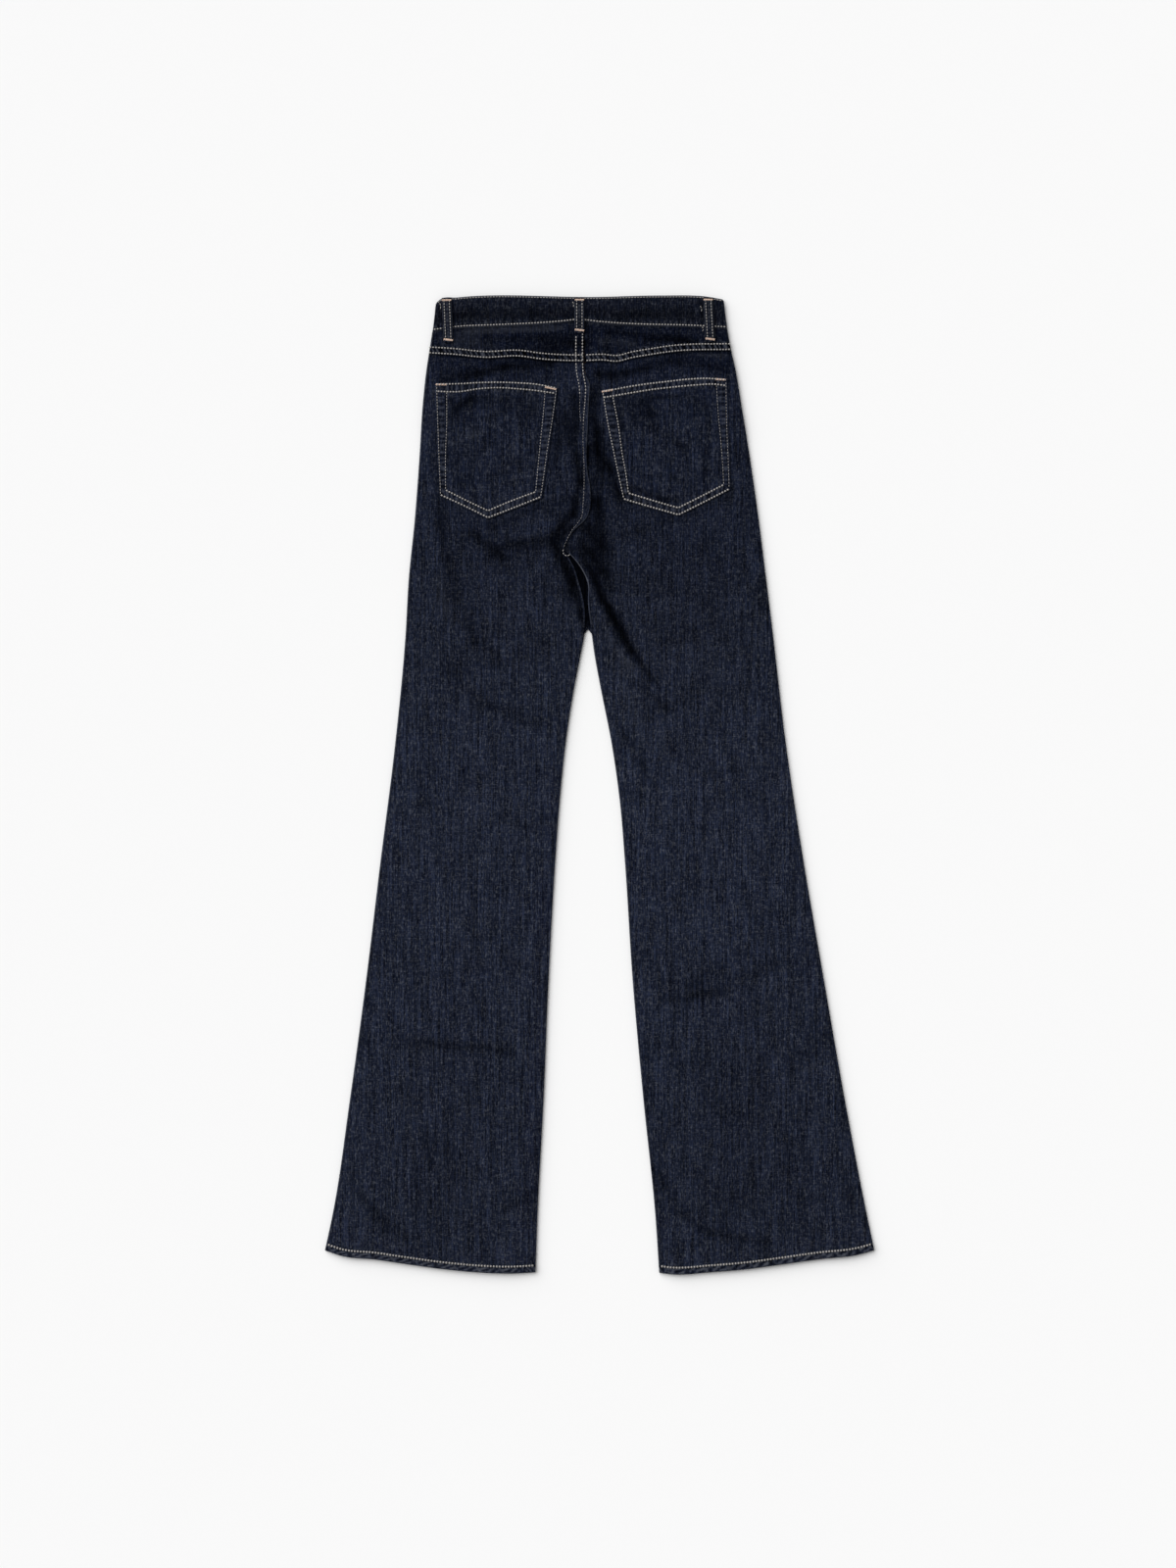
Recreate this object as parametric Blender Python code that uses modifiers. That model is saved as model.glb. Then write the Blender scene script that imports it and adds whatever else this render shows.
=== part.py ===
"""Flared five-pocket jeans laid flat with the back upwards, each cut piece a closed wall.

Metres, +Z up, +Y towards the waist, +X to the right as the back is seen; the origin is at the
bottom centre of the whole. Sizes and tables are in millimetres, and MM turns them to metres
where a mesh is made.
"""

from collections import namedtuple

import bmesh
import bpy
import numpy as np

MM = 0.001

# Over how much of a panel its straight rows ease into the bent line of its head and of its hem
HEAD_FADE = 60.0
FOOT_FADE = 90.0
EDGE_COLUMN = 7.0      # width of a back panel's outermost column
BACK_COLUMNS = 11      # columns between that one and the seat seam

# Walls and gaps
CLOTH = 1.2            # one layer of denim
BAND_WALL = 2.0        # waistband: two layers of denim
SEAM_EXTRA = 0.8       # what a felled seam or a turned hem adds to the outer side
GAP = 0.3              # between pieces, at seams and where one lies on another
PLAIN_SHARE = CLOTH / (CLOTH + SEAM_EXTRA)
SEAM_WIDTH = 9.0       # felled seam, from the lapped edge
HEM_DEPTH = 9.0        # turned hem
SEAM_STEPS = (0.0, SEAM_WIDTH - 0.5, SEAM_WIDTH + 1.5)     # points about the felled wall's end

# Heights of the inner side of the back layer over the floor
REST_EDGE = CLOTH + GAP            # where it meets the front panel at the leg's edges
POCKET_EDGE = REST_EDGE + 1.2      # at the hips, where the pocket facing lies between
LEG_MIDDLE = 3.4                   # along the middle of a leg
HIP_MIDDLE = 5.0                   # over the zip and the lapped ends of the waistband
SHOULDER = 34.0                    # how far in from an edge the cloth comes level
BAND_SHOULDER = 46.0

# Places along the garment
FOOT_Y = -546.0
CROTCH_Y = 263.0
CROTCH_SLANT = 14.0                # reach of the slanted seam beside the crotch
FORK_Y = 175.0                     # the front panels meet down to here
FORK_X = -13.0
LEG_LEVEL_Y = 120.0                # the middle rises from the leg's height here
HIP_LEVEL_Y = 350.0                # to the hip's height here
FACING_FOOT_Y = 382.0              # the edges rise from here
FACING_FULL_Y = 404.0              # to here, where the facing lies between
YOKE_Y = 495.0
FLY_TOP_Y = 500.0
MOUTH_Y = 505.0                    # front pocket mouths, at the side seams
MOUTH_TOP_Y = 508.0
WAIST_Y = 510.0
BAND_Y = 530.0
CENTRE_X = -19.5                   # centre front and centre back at the waist
BACK_WIDTH = 180.0                 # usual width of a back panel, for the spacing of its columns
FRONT_WIDTH = 165.0
BAND_HEIGHT = 31.0
FRONT_DIP = 18.0                   # how far the front of the waist lies below the back

# Trims
LOOP_WIDTH = 11.0
DENT_NEAR = LOOP_WIDTH / 2 + 1.6   # cloth over a loop is level to here
DENT_FAR = LOOP_WIDTH / 2 + 10.0   # and flat again from here
LOOP_WALL = 1.3
LOOP_ARCH = 1.1
FRONT_LOOP_REACH = 82.0            # front belt loops, from the centre front
FRONT_LOOP_TAIL = 11.0             # how far a front loop reaches below the waistband
BUTTON_RADIUS = 8.5
BUTTON_WALL = 1.2
BUTTON_FROM_END = 13.0
UNDERLAP = 36.0                    # how far the inner end of the waistband runs past the outer one
SCOOP_WIDTH = 55.0                 # front pocket mouth, along the waistband
SCOOP_DEPTH = 78.0                 # and down the side
FACING_WIDTH = 66.0
FACING_DEPTH = 96.0
ZIP_LENGTH = 128.0
ZIP_DROP = 4.0                     # from the foot of the waistband to the top of the tape
ZIP_TAPE = 26.0
ZIP_TAPE_WALL = 0.6
ZIP_CHAIN = 5.0
ZIP_CHAIN_WALL = 1.2
ZIP_END = 3.0                      # bare tape at each end of the chain
SLIDER = (9.0, 11.0, 1.4)
SLIDER_DROP = 12.0

Side = namedtuple("Side", "y left right")
Point = namedtuple("Point", "x y")
Crease = namedtuple("Crease", "x0 y0 x1 y1 lift width")
Pocket = namedtuple("Pocket", "name top_left top_right foot_left foot_right tip")
Loop = namedtuple("Loop", "name x_top x_foot y_foot")

# Outer edges of the two legs
OUTSEAMS = (
    Side(-521.1, -308.0, 308.0),
    Side(-482.6, -299.8, 299.9),
    Side(-350.6, -279.9, 274.6),
    Side(-218.6, -262.0, 251.6),
    Side(-86.6, -246.0, 228.9),
    Side(45.4, -229.5, 209.0),
    Side(166.4, -217.9, 194.7),
    Side(232.4, -214.1, 186.6),
    Side(298.4, -207.4, 178.3),
    Side(364.4, -202.4, 169.0),
    Side(430.4, -198.1, 158.4),
    Side(463.4, -194.6, 153.0),
    Side(496.4, -189.6, 145.8),
    Side(529.4, -184.9, 140.9),
    Side(550.0, -183.2, 139.0),
)

# Inner edges below the crotch: left leg's, right leg's
INSEAMS = (
    Side(-546.4, -71.9, 66.7),
    Side(-482.6, -69.7, 62.4),
    Side(-350.6, -62.8, 48.8),
    Side(-218.6, -57.3, 36.9),
    Side(-86.6, -49.9, 28.3),
    Side(-20.6, -45.1, 22.8),
    Side(45.4, -38.4, 13.6),
    Side(111.4, -28.2, 0.6),
    Side(144.4, -21.7, -5.5),
    Side(175.2, -16.4, -9.7),
    Side(205.6, -17.7, -13.2),
    Side(226.9, -23.0, -13.6),
    Side(248.9, -30.6, -24.8),
    Side(263.0, -40.2, -37.0),
)

# Seat seam between the two back panels: it rolls to the left as it nears the crotch
SEAT_SEAM = (
    Point(-40.4, 263.0),
    Point(-38.6, 270.0),
    Point(-29.5, 284.7),
    Point(-15.2, 298.4),
    Point(-10.8, 309.0),
    Point(-10.0, 331.4),
    Point(-13.5, 353.4),
    Point(-12.7, 407.3),
    Point(-11.3, 436.0),
    Point(-10.8, 450.2),
    Point(-16.8, 464.0),
    Point(-17.4, 480.0),
    Point(-17.4, 520.0),
)

WAIST_TOP = (
    Point(-185.0, 539.5), Point(-179.0, 544.8), Point(-160.0, 547.0), Point(0.0, 547.6),
    Point(70.0, 549.2), Point(120.0, 548.0), Point(139.5, 544.8),
)
WAIST_FOOT = (
    Point(-188.0, 508.2), Point(-163.0, 511.3), Point(-110.0, 513.8), Point(-60.0, 516.3),
    Point(-42.0, 517.8), Point(-22.0, 519.4), Point(-2.0, 517.4), Point(20.0, 515.6),
    Point(41.0, 514.5), Point(92.0, 513.3), Point(144.0, 511.3),
)
YOKE_SEAM = (
    Point(-193.0, 483.5), Point(-163.0, 481.5), Point(-129.0, 478.2), Point(-90.0, 479.6),
    Point(-66.0, 476.4), Point(-17.0, 474.4), Point(3.0, 475.2), Point(20.0, 473.8),
    Point(36.0, 477.7), Point(54.0, 480.8), Point(79.0, 484.6), Point(150.0, 487.2),
)
HEMS = {
    "left": (
        Point(-308.0, -522.0), Point(-290.0, -528.0), Point(-251.7, -532.1),
        Point(-214.7, -537.6), Point(-173.5, -543.1), Point(-137.5, -546.4),
        Point(-101.0, -547.8), Point(-72.0, -546.6),
    ),
    "right": (
        Point(66.7, -547.0), Point(79.0, -548.6), Point(124.2, -546.4), Point(163.4, -543.1),
        Point(204.6, -537.6), Point(243.8, -532.1), Point(290.0, -526.6), Point(308.0, -521.8),
    ),
}

# The main folds of the back layer: where each runs, how far it lifts the cloth, how wide it is
FOLDS = (
    Crease(-70.2, 499.7, -28.4, 508.5, -0.4, 6.0),
    Crease(-4.0, 507.0, 24.0, 500.0, -0.8, 6.0),
    Crease(-138.0, 466.0, -104.0, 475.5, -0.7, 9.0),
    Crease(82.7, 478.8, 112.4, 468.9, -0.7, 9.0),
    Crease(0.0, 455.0, 2.0, 352.3, -1.2, 9.0),
    Crease(2.0, 352.0, 5.0, 300.0, -1.0, 9.0),
    Crease(-6.4, 276.0, 11.0, 221.0, -1.0, 9.0),
    Crease(8.0, 285.0, -12.0, 262.0, 1.0, 9.0),
    Crease(-48.0, 350.0, -24.0, 305.0, -0.9, 10.0),
    Crease(-97.7, 265.4, -44.0, 276.0, -1.1, 8.0),
    Crease(-175.8, 291.8, -158.0, 208.0, -0.7, 10.0),
    Crease(-9.7, 228.0, 21.1, 178.5, -1.4, 8.0),
    Crease(21.1, 178.5, 57.4, 113.6, -1.4, 8.0),
    Crease(-6.0, 205.0, 15.6, 166.0, 1.8, 9.0),
    Crease(15.6, 166.0, 48.0, 112.0, 1.6, 9.0),
    Crease(7.9, 103.7, 71.7, -33.8, -0.9, 13.0),
    Crease(-179.0, 127.9, -75.7, 71.8, -0.8, 14.0),
    Crease(-149.0, -294.5, -95.5, -294.5, -0.7, 13.0),
    Crease(-271.5, -456.2, -237.4, -495.8, -0.9, 12.0),
    Crease(-109.8, -471.6, -75.7, -451.8, -0.8, 12.0),
    Crease(61.8, -196.6, 121.2, -235.0, -0.7, 14.0),
    Crease(121.2, -235.0, 170.7, -205.4, -0.7, 14.0),
    Crease(61.8, -436.4, 98.0, -490.0, -0.9, 12.0),
)

# Back pockets: five corners each
POCKETS = (
    Pocket("back_pocket_left", Point(-184.3, 450.6), Point(-46.6, 445.8),
           Point(-180.0, 324.8), Point(-64.5, 321.4), Point(-125.0, 298.0)),
    Pocket("back_pocket_right", Point(1.5, 442.8), Point(143.2, 455.2),
           Point(25.5, 319.4), Point(147.0, 331.4), Point(88.4, 301.2)),
)
POCKET_MOUTH_RISE = 3.5            # the mouths bow upwards by this at their middle

# Back belt loops: middle line at the top and at the foot, and how far down the foot is
BACK_LOOPS = (
    Loop("belt_loop_back_left", -171.6, -169.4, 495.8),
    Loop("belt_loop_centre", -22.6, -22.6, 506.6),
    Loop("belt_loop_back_right", 121.6, 124.2, 496.6),
)

DENIM = (0.013, 0.017, 0.031)
DENIM_FACE = {"color": DENIM, "roughness": 0.9, "metallic": 0.0}
BRASS = {"color": (0.35, 0.24, 0.11), "roughness": 0.35, "metallic": 1.0}


def clear_scene():
    """Remove every object that the file holds."""
    for item in list(bpy.data.objects):
        bpy.data.objects.remove(item, do_unlink=True)


def new_collection(name):
    """A collection linked to the scene."""
    collection = bpy.data.collections.new(name)
    bpy.context.scene.collection.children.link(collection)
    return collection


def new_material(name, color, roughness, metallic):
    """A Principled material of one colour."""
    material = bpy.data.materials.new(name)
    material.use_nodes = True
    shader = material.node_tree.nodes["Principled BSDF"]
    shader.inputs["Base Color"].default_value = (*color, 1.0)
    shader.inputs["Roughness"].default_value = roughness
    shader.inputs["Metallic"].default_value = metallic
    return material


def through(knots, values, at):
    """Smooth curve through the values at rising knots, straight on beyond both ends."""
    knots, values, at = (np.asarray(part, float) for part in (knots, values, at))
    slopes = np.gradient(values, knots)
    inside = np.clip(at, knots[0], knots[-1])
    cell = np.clip(np.searchsorted(knots, inside) - 1, 0, len(knots) - 2)
    step = knots[cell + 1] - knots[cell]
    t = (inside - knots[cell]) / step
    low, high = values[cell], values[cell + 1]
    rise_low, rise_high = slopes[cell] * step, slopes[cell + 1] * step
    curve = (low * (1 + 2 * t) * (1 - t) ** 2 + rise_low * t * (1 - t) ** 2
             + high * t * t * (3 - 2 * t) - rise_high * t * t * (1 - t))
    end_slope = np.where(at > knots[-1], slopes[-1], slopes[0])
    return curve + (at - inside) * end_slope


def ease(at, low, high):
    """0 below low, 1 above high, smooth between."""
    t = np.clip((at - low) / (high - low), 0, 1)
    return t * t * (3 - 2 * t)


def shoulder(distance, width):
    """Quarter-round rise from 0 at an edge to 1 at width from it."""
    return 1 - (1 - np.clip(distance / width, 0, 1)) ** 2


def line_height(points, x):
    """The y of a table of points at x."""
    return through([p.x for p in points], [p.y for p in points], x)


def outer_edge(side, y):
    """The x of a side seam at y."""
    return through([row.y for row in OUTSEAMS], [getattr(row, side) for row in OUTSEAMS], y)


def seat_line(y):
    """The x of the seat seam at y."""
    return through([p.y for p in SEAT_SEAM], [p.x for p in SEAT_SEAM], y)


def centre_front(y):
    """The x of the seam between the front panels, straight from the waist to the fork."""
    return CENTRE_X + (y - FLY_TOP_Y) / (FORK_Y - FLY_TOP_Y) * (FORK_X - CENTRE_X)


def inseam(side, y):
    """The x of a leg's inner edge at y."""
    return through([row.y for row in INSEAMS], [getattr(row, side) for row in INSEAMS], y)


def toward(side):
    """+1 where a panel's inner edge lies to the right of it, -1 where to the left."""
    return 1 if side == "left" else -1


def back_inner_edge(side, y):
    """Seat seam above the crotch, inseam below it, less half the gap and more where it slants."""
    edge = np.where(y >= CROTCH_Y, seat_line(y), inseam(side, y))
    slanted = np.exp(-((y - CROTCH_Y - 9.0) / CROTCH_SLANT) ** 2)
    return edge - toward(side) * (GAP / 2 + 2 * GAP * slanted)


def front_inner_edge(side, y):
    """Centre front seam above the fork, inseam below it."""
    return np.where(y >= FORK_Y, centre_front(y), inseam(side, y)) - toward(side) * GAP / 2


def fold_lift(x, y):
    """Sum of all folds: each a rounded ridge or trough along its line, fading past its ends."""
    lift = np.zeros(np.broadcast(x, y).shape)
    for fold in FOLDS:
        run = np.array([fold.x1 - fold.x0, fold.y1 - fold.y0])
        length = np.hypot(*run)
        along = ((x - fold.x0) * run[0] + (y - fold.y0) * run[1]) / length
        across = ((x - fold.x0) * run[1] - (y - fold.y0) * run[0]) / length
        beyond = np.maximum(np.maximum(-along, along - length), 0)
        lift += fold.lift * np.exp(-(across / fold.width) ** 2 - (beyond / (1.5 * fold.width)) ** 2)
    return lift


def back_inside(side, x, y):
    """Height of the inner side of the back layer: low at its edges, level between them."""
    base = REST_EDGE + (POCKET_EDGE - REST_EDGE) * ease(y, FACING_FOOT_Y, FACING_FULL_Y)
    middle = LEG_MIDDLE + (HIP_MIDDLE - LEG_MIDDLE) * ease(y, LEG_LEVEL_Y, HIP_LEVEL_Y)
    outer = shoulder(np.abs(x - outer_edge(side, y)), SHOULDER)
    inner = shoulder(np.abs(x - back_inner_edge(side, y)), SHOULDER)
    inner = inner + (1 - inner) * ease(y, CROTCH_Y - 10.0, CROTCH_Y + 50.0)
    level = outer * inner
    return np.maximum(base + (middle - base) * level + fold_lift(x, y) * level, base)


def band_inside(x):
    """Height of the inner side of the back of the waistband."""
    edge = np.minimum(x - outer_edge("left", BAND_Y), outer_edge("right", BAND_Y) - x)
    low = BAND_WALL + GAP
    return low + (HIP_MIDDLE - low) * shoulder(edge, BAND_SHOULDER)


def front_foot(x):
    """The y of the lower edge of the front of the waistband."""
    left, right = outer_edge("left", WAIST_Y), outer_edge("right", WAIST_Y)
    across = (x - CENTRE_X) / np.where(x < CENTRE_X, CENTRE_X - left, right - CENTRE_X)
    ends = np.where(x < CENTRE_X, line_height(WAIST_FOOT, left), line_height(WAIST_FOOT, right))
    return ends - FRONT_DIP * (1 - np.clip(across ** 2, 0, 1))


def loop_dent(x, y):
    """How far the front cloth is pushed up over a belt loop that lies under it."""
    dent = np.zeros(np.broadcast(x, y).shape)
    for centre in (CENTRE_X - FRONT_LOOP_REACH, CENTRE_X + FRONT_LOOP_REACH):
        foot = front_foot(centre) - FRONT_LOOP_TAIL
        across = 1 - ease(np.abs(x - centre), LOOP_WIDTH / 2 + 3.0, LOOP_WIDTH / 2 + 11.0)
        dent = np.maximum(dent, across * ease(y, foot - 9.0, foot - 0.6))
    return dent * (LOOP_WALL + GAP)


def stack(x, y, z):
    """One array of points from three that broadcast."""
    return np.stack(np.broadcast_arrays(x, y, z), axis=-1)


def sheet(name, points, material, collection, wall, offset=1.0, share=None):
    """A closed wall on a grid of points.

    offset 1 thickens along the face's normal, 0 to both sides; share is the part of the wall
    that each point gets, and 1 where it is left out.
    """
    rows, columns = points.shape[:2]
    grid = bmesh.new()
    bmesh.ops.create_grid(grid, x_segments=columns - 1, y_segments=rows - 1, size=1.0)
    order = []
    for vert in grid.verts:
        column = round((vert.co.x + 1) / 2 * (columns - 1))
        row = round((vert.co.y + 1) / 2 * (rows - 1))
        vert.co = points[row, column] * MM
        order.append((row, column))
    mesh = bpy.data.meshes.new(name)
    grid.to_mesh(mesh)
    grid.free()
    mesh.shade_smooth()
    mesh.materials.append(material)
    piece = bpy.data.objects.new(name, mesh)
    collection.objects.link(piece)
    solidify = piece.modifiers.new("wall", "SOLIDIFY")
    solidify.thickness = wall * MM
    solidify.offset = offset
    if share is not None:
        group = piece.vertex_groups.new(name="wall share")
        for index, (row, column) in enumerate(order):
            group.add([index], float(share[row, column]), "REPLACE")
        solidify.vertex_group = group.name
    return piece


def cut(piece, cutter, cutters):
    """Take the cutter's shape out of the piece."""
    cutters.objects.link(cutter)
    cutter.hide_render = True
    cutter.display_type = "WIRE"
    boolean = piece.modifiers.new("cut", "BOOLEAN")
    boolean.operation = "DIFFERENCE"
    boolean.solver = "EXACT"
    boolean.object = cutter


def disc(name, radius, low, high, x, y, segments=32):
    """An upright cylinder from one height to another."""
    solid = bmesh.new()
    bmesh.ops.create_cone(solid, cap_ends=True, segments=segments, radius1=radius * MM,
                          radius2=radius * MM, depth=(high - low) * MM)
    mesh = bpy.data.meshes.new(name)
    solid.to_mesh(mesh)
    solid.free()
    item = bpy.data.objects.new(name, mesh)
    item.location = (x * MM, y * MM, (low + high) / 2 * MM)
    return item


def block(name, width, length, height, x, y, z):
    """A box about its own centre, its scale applied."""
    solid = bmesh.new()
    bmesh.ops.create_cube(solid, size=1.0)
    bmesh.ops.scale(solid, vec=(width * MM, length * MM, height * MM), verts=solid.verts)
    mesh = bpy.data.meshes.new(name)
    solid.to_mesh(mesh)
    solid.free()
    item = bpy.data.objects.new(name, mesh)
    item.location = (x * MM, y * MM, z * MM)
    return item


def between(outer, inner, shares):
    """Columns from an outer edge to an inner edge at the given shares of the way."""
    return outer[:, None] + (inner - outer)[:, None] * shares[None, :]


def panel_grid(side, rows, shares, inner_edge, head):
    """The x and y of a panel's points.

    rows are the heights of straight rows; the last bends to follow the head line and the first
    to follow the hem, and the rows between ease back to straight.
    """
    hem = HEMS[side]
    y = np.repeat(rows[:, None], len(shares), axis=1)
    x = between(outer_edge(side, rows), inner_edge(side, rows), shares)
    for _ in range(3):
        head_bend = (1 - ease(rows[-1] - rows, 0, HEAD_FADE))[:, None] * (head(x) - rows[-1])
        foot_bend = 1 - ease(rows - rows[0], 0, FOOT_FADE)
        foot_bend = foot_bend[:, None] * (line_height(hem, x) - rows[0])
        y = rows[:, None] + head_bend + foot_bend
        outer, inner = outer_edge(side, y), inner_edge(side, y)
        x = outer + (inner - outer) * shares[None, :]
    if side == "right":
        x, y = x[:, ::-1], y[:, ::-1]
    return x, y


def column_shares():
    """Shares of the way from a back panel's outer edge to its inner one.

    A narrow column at the outer edge, columns where the felled wall ends, even ones between.
    """
    marks = [1 - step / BACK_WIDTH for step in SEAM_STEPS]
    evenly = np.linspace(EDGE_COLUMN / BACK_WIDTH, marks[-1], BACK_COLUMNS)
    return np.array([0.0, *evenly, *marks[-2::-1]])


def back_share(side, x, y):
    """Share of the wall: full on the hem and on the felled seat seam, plain elsewhere."""
    hem = y < line_height(HEMS[side], x) + HEM_DEPTH
    lapped = (side == "left") & (y > CROTCH_Y) & (np.abs(back_inner_edge(side, y) - x) < SEAM_WIDTH)
    return np.where(hem | lapped, 1.0, PLAIN_SHARE)


def make_backs(material, collection):
    """The two back panels, from hem to yoke seam."""
    for side in ("left", "right"):
        rows = np.concatenate((
            [FOOT_Y, FOOT_Y + HEM_DEPTH - 0.5, FOOT_Y + HEM_DEPTH + 1.5],
            np.linspace(-515.0, 120.0, 20), np.linspace(140.0, 330.0, 19),
            np.linspace(344.0, 476.0, 10),
        ))
        x, y = panel_grid(side, rows, column_shares(), back_inner_edge,
                          lambda at: line_height(YOKE_SEAM, at) - GAP / 2)
        points = stack(x, y, back_inside(side, x, y))
        sheet(f"back_{side}", points, material, collection, CLOTH + SEAM_EXTRA,
              share=back_share(side, x, y))


def make_yokes(material, collection):
    """The two yokes, between the waistband and the back panels."""
    for side in ("left", "right"):
        shares = column_shares()
        outer, inner = outer_edge(side, YOKE_Y), back_inner_edge(side, YOKE_Y)
        x = outer + (inner - outer) * shares[None, :]
        low = line_height(YOKE_SEAM, x) + GAP / 2
        high = line_height(WAIST_FOOT, x) - GAP
        upper = np.array([[0.5], [0.75], [1.0]])
        y = np.concatenate((low + np.array(SEAM_STEPS)[:, None], low + (high - low) * upper))
        outer, inner = outer_edge(side, y), back_inner_edge(side, y)
        x = outer + (inner - outer) * shares[None, :]
        lapped = (y - y[0] < SEAM_WIDTH) | ((side == "left") & (np.abs(inner - x) < SEAM_WIDTH))
        share = np.where(lapped, 1.0, PLAIN_SHARE)
        if side == "right":
            x, y, share = x[:, ::-1], y[:, ::-1], share[:, ::-1]
        points = stack(x, y, back_inside(side, x, y))
        sheet(f"yoke_{side}", points, material, collection, CLOTH + SEAM_EXTRA, share=share)


def make_fronts(material, collection, cutters):
    """The two front panels, flat on the floor, with their pocket mouths cut out."""
    for side in ("left", "right"):
        rows = np.concatenate((np.linspace(FOOT_Y, 150.0, 15), np.linspace(FORK_Y, 460.0, 9),
                               [478.0, 485.0, 490.0, 496.0]))
        middle = CENTRE_X - toward(side) * FRONT_LOOP_REACH
        waist = outer_edge(side, rows[-1])
        loop = (middle - waist) / (CENTRE_X - waist)
        near, far = DENT_NEAR / FRONT_WIDTH, DENT_FAR / FRONT_WIDTH
        shares = np.concatenate((np.linspace(0, loop - far, 5), [loop - near, loop + near],
                                 np.linspace(loop + far, 1, 5)))
        x, y = panel_grid(side, rows, shares, front_inner_edge,
                          lambda at: front_foot(at) - GAP)
        panel = sheet(f"front_{side}", stack(x, y, loop_dent(x, y)), material, collection, CLOTH)
        corner = outer_edge(side, MOUTH_Y)
        mouth = disc(f"mouth_{side}", 1.0, -3.0, 6.0, corner, MOUTH_TOP_Y, segments=48)
        mouth.data.transform(((SCOOP_WIDTH, 0, 0, 0), (0, SCOOP_DEPTH, 0, 0), (0, 0, 1, 0),
                              (0, 0, 0, 1)))
        cut(panel, mouth, cutters)


def make_facings(material, collection):
    """The pocket facings, on the inner side of the front panels behind the mouths."""
    for side in ("left", "right"):
        sign = toward(side)
        down = np.linspace(0.0, 1.0, 8)[:, None]
        across = np.linspace(0.0, 1.0, 6)[None, :]
        edge = outer_edge(side, MOUTH_Y - FACING_DEPTH)
        width = FACING_WIDTH * (0.55 + 0.45 * ease(down, 0.0, 0.8))
        x = edge + sign * width * across
        for _ in range(3):
            head = front_foot(x) - GAP
            y = (head - FACING_DEPTH) + FACING_DEPTH * down + 20.0 * across * (1 - down)
            x = outer_edge(side, y) + sign * width * across
        if side == "right":
            x, y = x[:, ::-1], y[:, ::-1]
        sheet(f"facing_{side}", stack(x, y, REST_EDGE), material, collection, CLOTH - GAP)


def band_path():
    """The waistband's middle line seen from above the waist.

    Runs from the inner end at the centre front, right, round the right side, along the back and
    round the left side to the outer end. Gives the share of the way across the waist, the offset
    from that place in x, the height, and how much the point belongs to the front.
    """
    left, right = outer_edge("left", BAND_Y), outer_edge("right", BAND_Y)
    radius = (BAND_WALL + GAP) / 2
    inset = BAND_WALL / 2 + radius
    span = right - left - 2 * inset
    flat = BAND_WALL / 2
    raised = flat + BAND_WALL + GAP
    centre = (CENTRE_X - left - inset) / span
    loops = [(CENTRE_X + d - left - inset) / span for d in (-FRONT_LOOP_REACH, FRONT_LOOP_REACH)]
    near, far = DENT_NEAR / span, DENT_FAR / span
    ramp = np.array([1.0, 5.0, 9.0, 13.0]) / span
    ramp_fall = np.array([0.0, 0.5, 0.97, 1.0])
    inner_end = np.concatenate((np.linspace(centre - UNDERLAP / span, centre, 5), centre + ramp))
    inner_height = np.concatenate((np.full(5, raised), raised + (flat - raised) * ramp_fall))
    around = np.linspace(-90, 90, 7)[1:-1] * np.pi / 180
    front_right = np.concatenate((np.linspace(centre + 0.1, loops[1] - far, 3),
                                  [loops[1] - near, loops[1] + near],
                                  np.linspace(loops[1] + far, 1, 6)))
    front_left = np.concatenate((np.linspace(0, loops[0] - far, 6),
                                 [loops[0] - near, loops[0] + near],
                                 np.linspace(loops[0] + far, centre - 0.4 * GAP / span, 7)))
    back = np.concatenate((np.linspace(1, 1 - BAND_SHOULDER / span, 7),
                           np.linspace(1 - BAND_SHOULDER / span, BAND_SHOULDER / span, 25)[1:-1],
                           np.linspace(BAND_SHOULDER / span, 0, 7)))
    back_x = left + inset + back * span
    share = np.concatenate((inner_end, front_right, np.ones(len(around)), back,
                            np.zeros(len(around)), front_left))
    lying = np.zeros(len(inner_end) + len(front_right))
    bulge = np.concatenate((lying, np.cos(around) * radius, np.zeros_like(back),
                            -np.cos(around) * radius, np.zeros_like(front_left)))
    turn = flat + radius + np.sin(around) * radius
    height = np.concatenate((inner_height, np.full_like(front_right, flat), turn,
                             band_inside(back_x) + BAND_WALL / 2, turn[::-1],
                             np.full_like(front_left, flat)))
    to_front = ease(around, -1.5, 1.5)
    front = np.concatenate((lying + 1, 1 - to_front, np.zeros_like(back), to_front,
                            np.ones_like(front_left)))
    return share, bulge, height, front, inset


def make_waistband(material, collection, cutters):
    """One strip round the waist, its outer end over its inner end at the centre front."""
    share, bulge, height, front, inset = band_path()
    steps = np.array([0.0, 0.33, 0.67, 1.0])[:, None]
    y = np.full((len(steps), len(share)), BAND_Y)
    for _ in range(4):
        left, right = outer_edge("left", y) + inset, outer_edge("right", y) - inset
        x = left + (right - left) * share + bulge
        side_x = np.where(x < CENTRE_X, left - inset, right + inset)
        front_low = front_foot(x)
        front_high = np.minimum(front_low + BAND_HEIGHT, line_height(WAIST_TOP, side_x))
        back_low, back_high = line_height(WAIST_FOOT, x) + GAP / 2, line_height(WAIST_TOP, x)
        low = back_low + (front_low - back_low) * front
        high = back_high + (front_high - back_high) * front
        y = low + (high - low) * steps
    low_lying = (front > 0.99) & (height < BAND_WALL)
    z = height + np.where(low_lying, loop_dent(x, y), 0.0)
    band = sheet("waistband", stack(x, y, z)[:, ::-1], material, collection, BAND_WALL, offset=0.0)
    recess = disc("button_recess", BUTTON_RADIUS + GAP, -2.0, BUTTON_WALL + GAP,
                  CENTRE_X - BUTTON_FROM_END, button_y())
    cut(band, recess, cutters)


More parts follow.
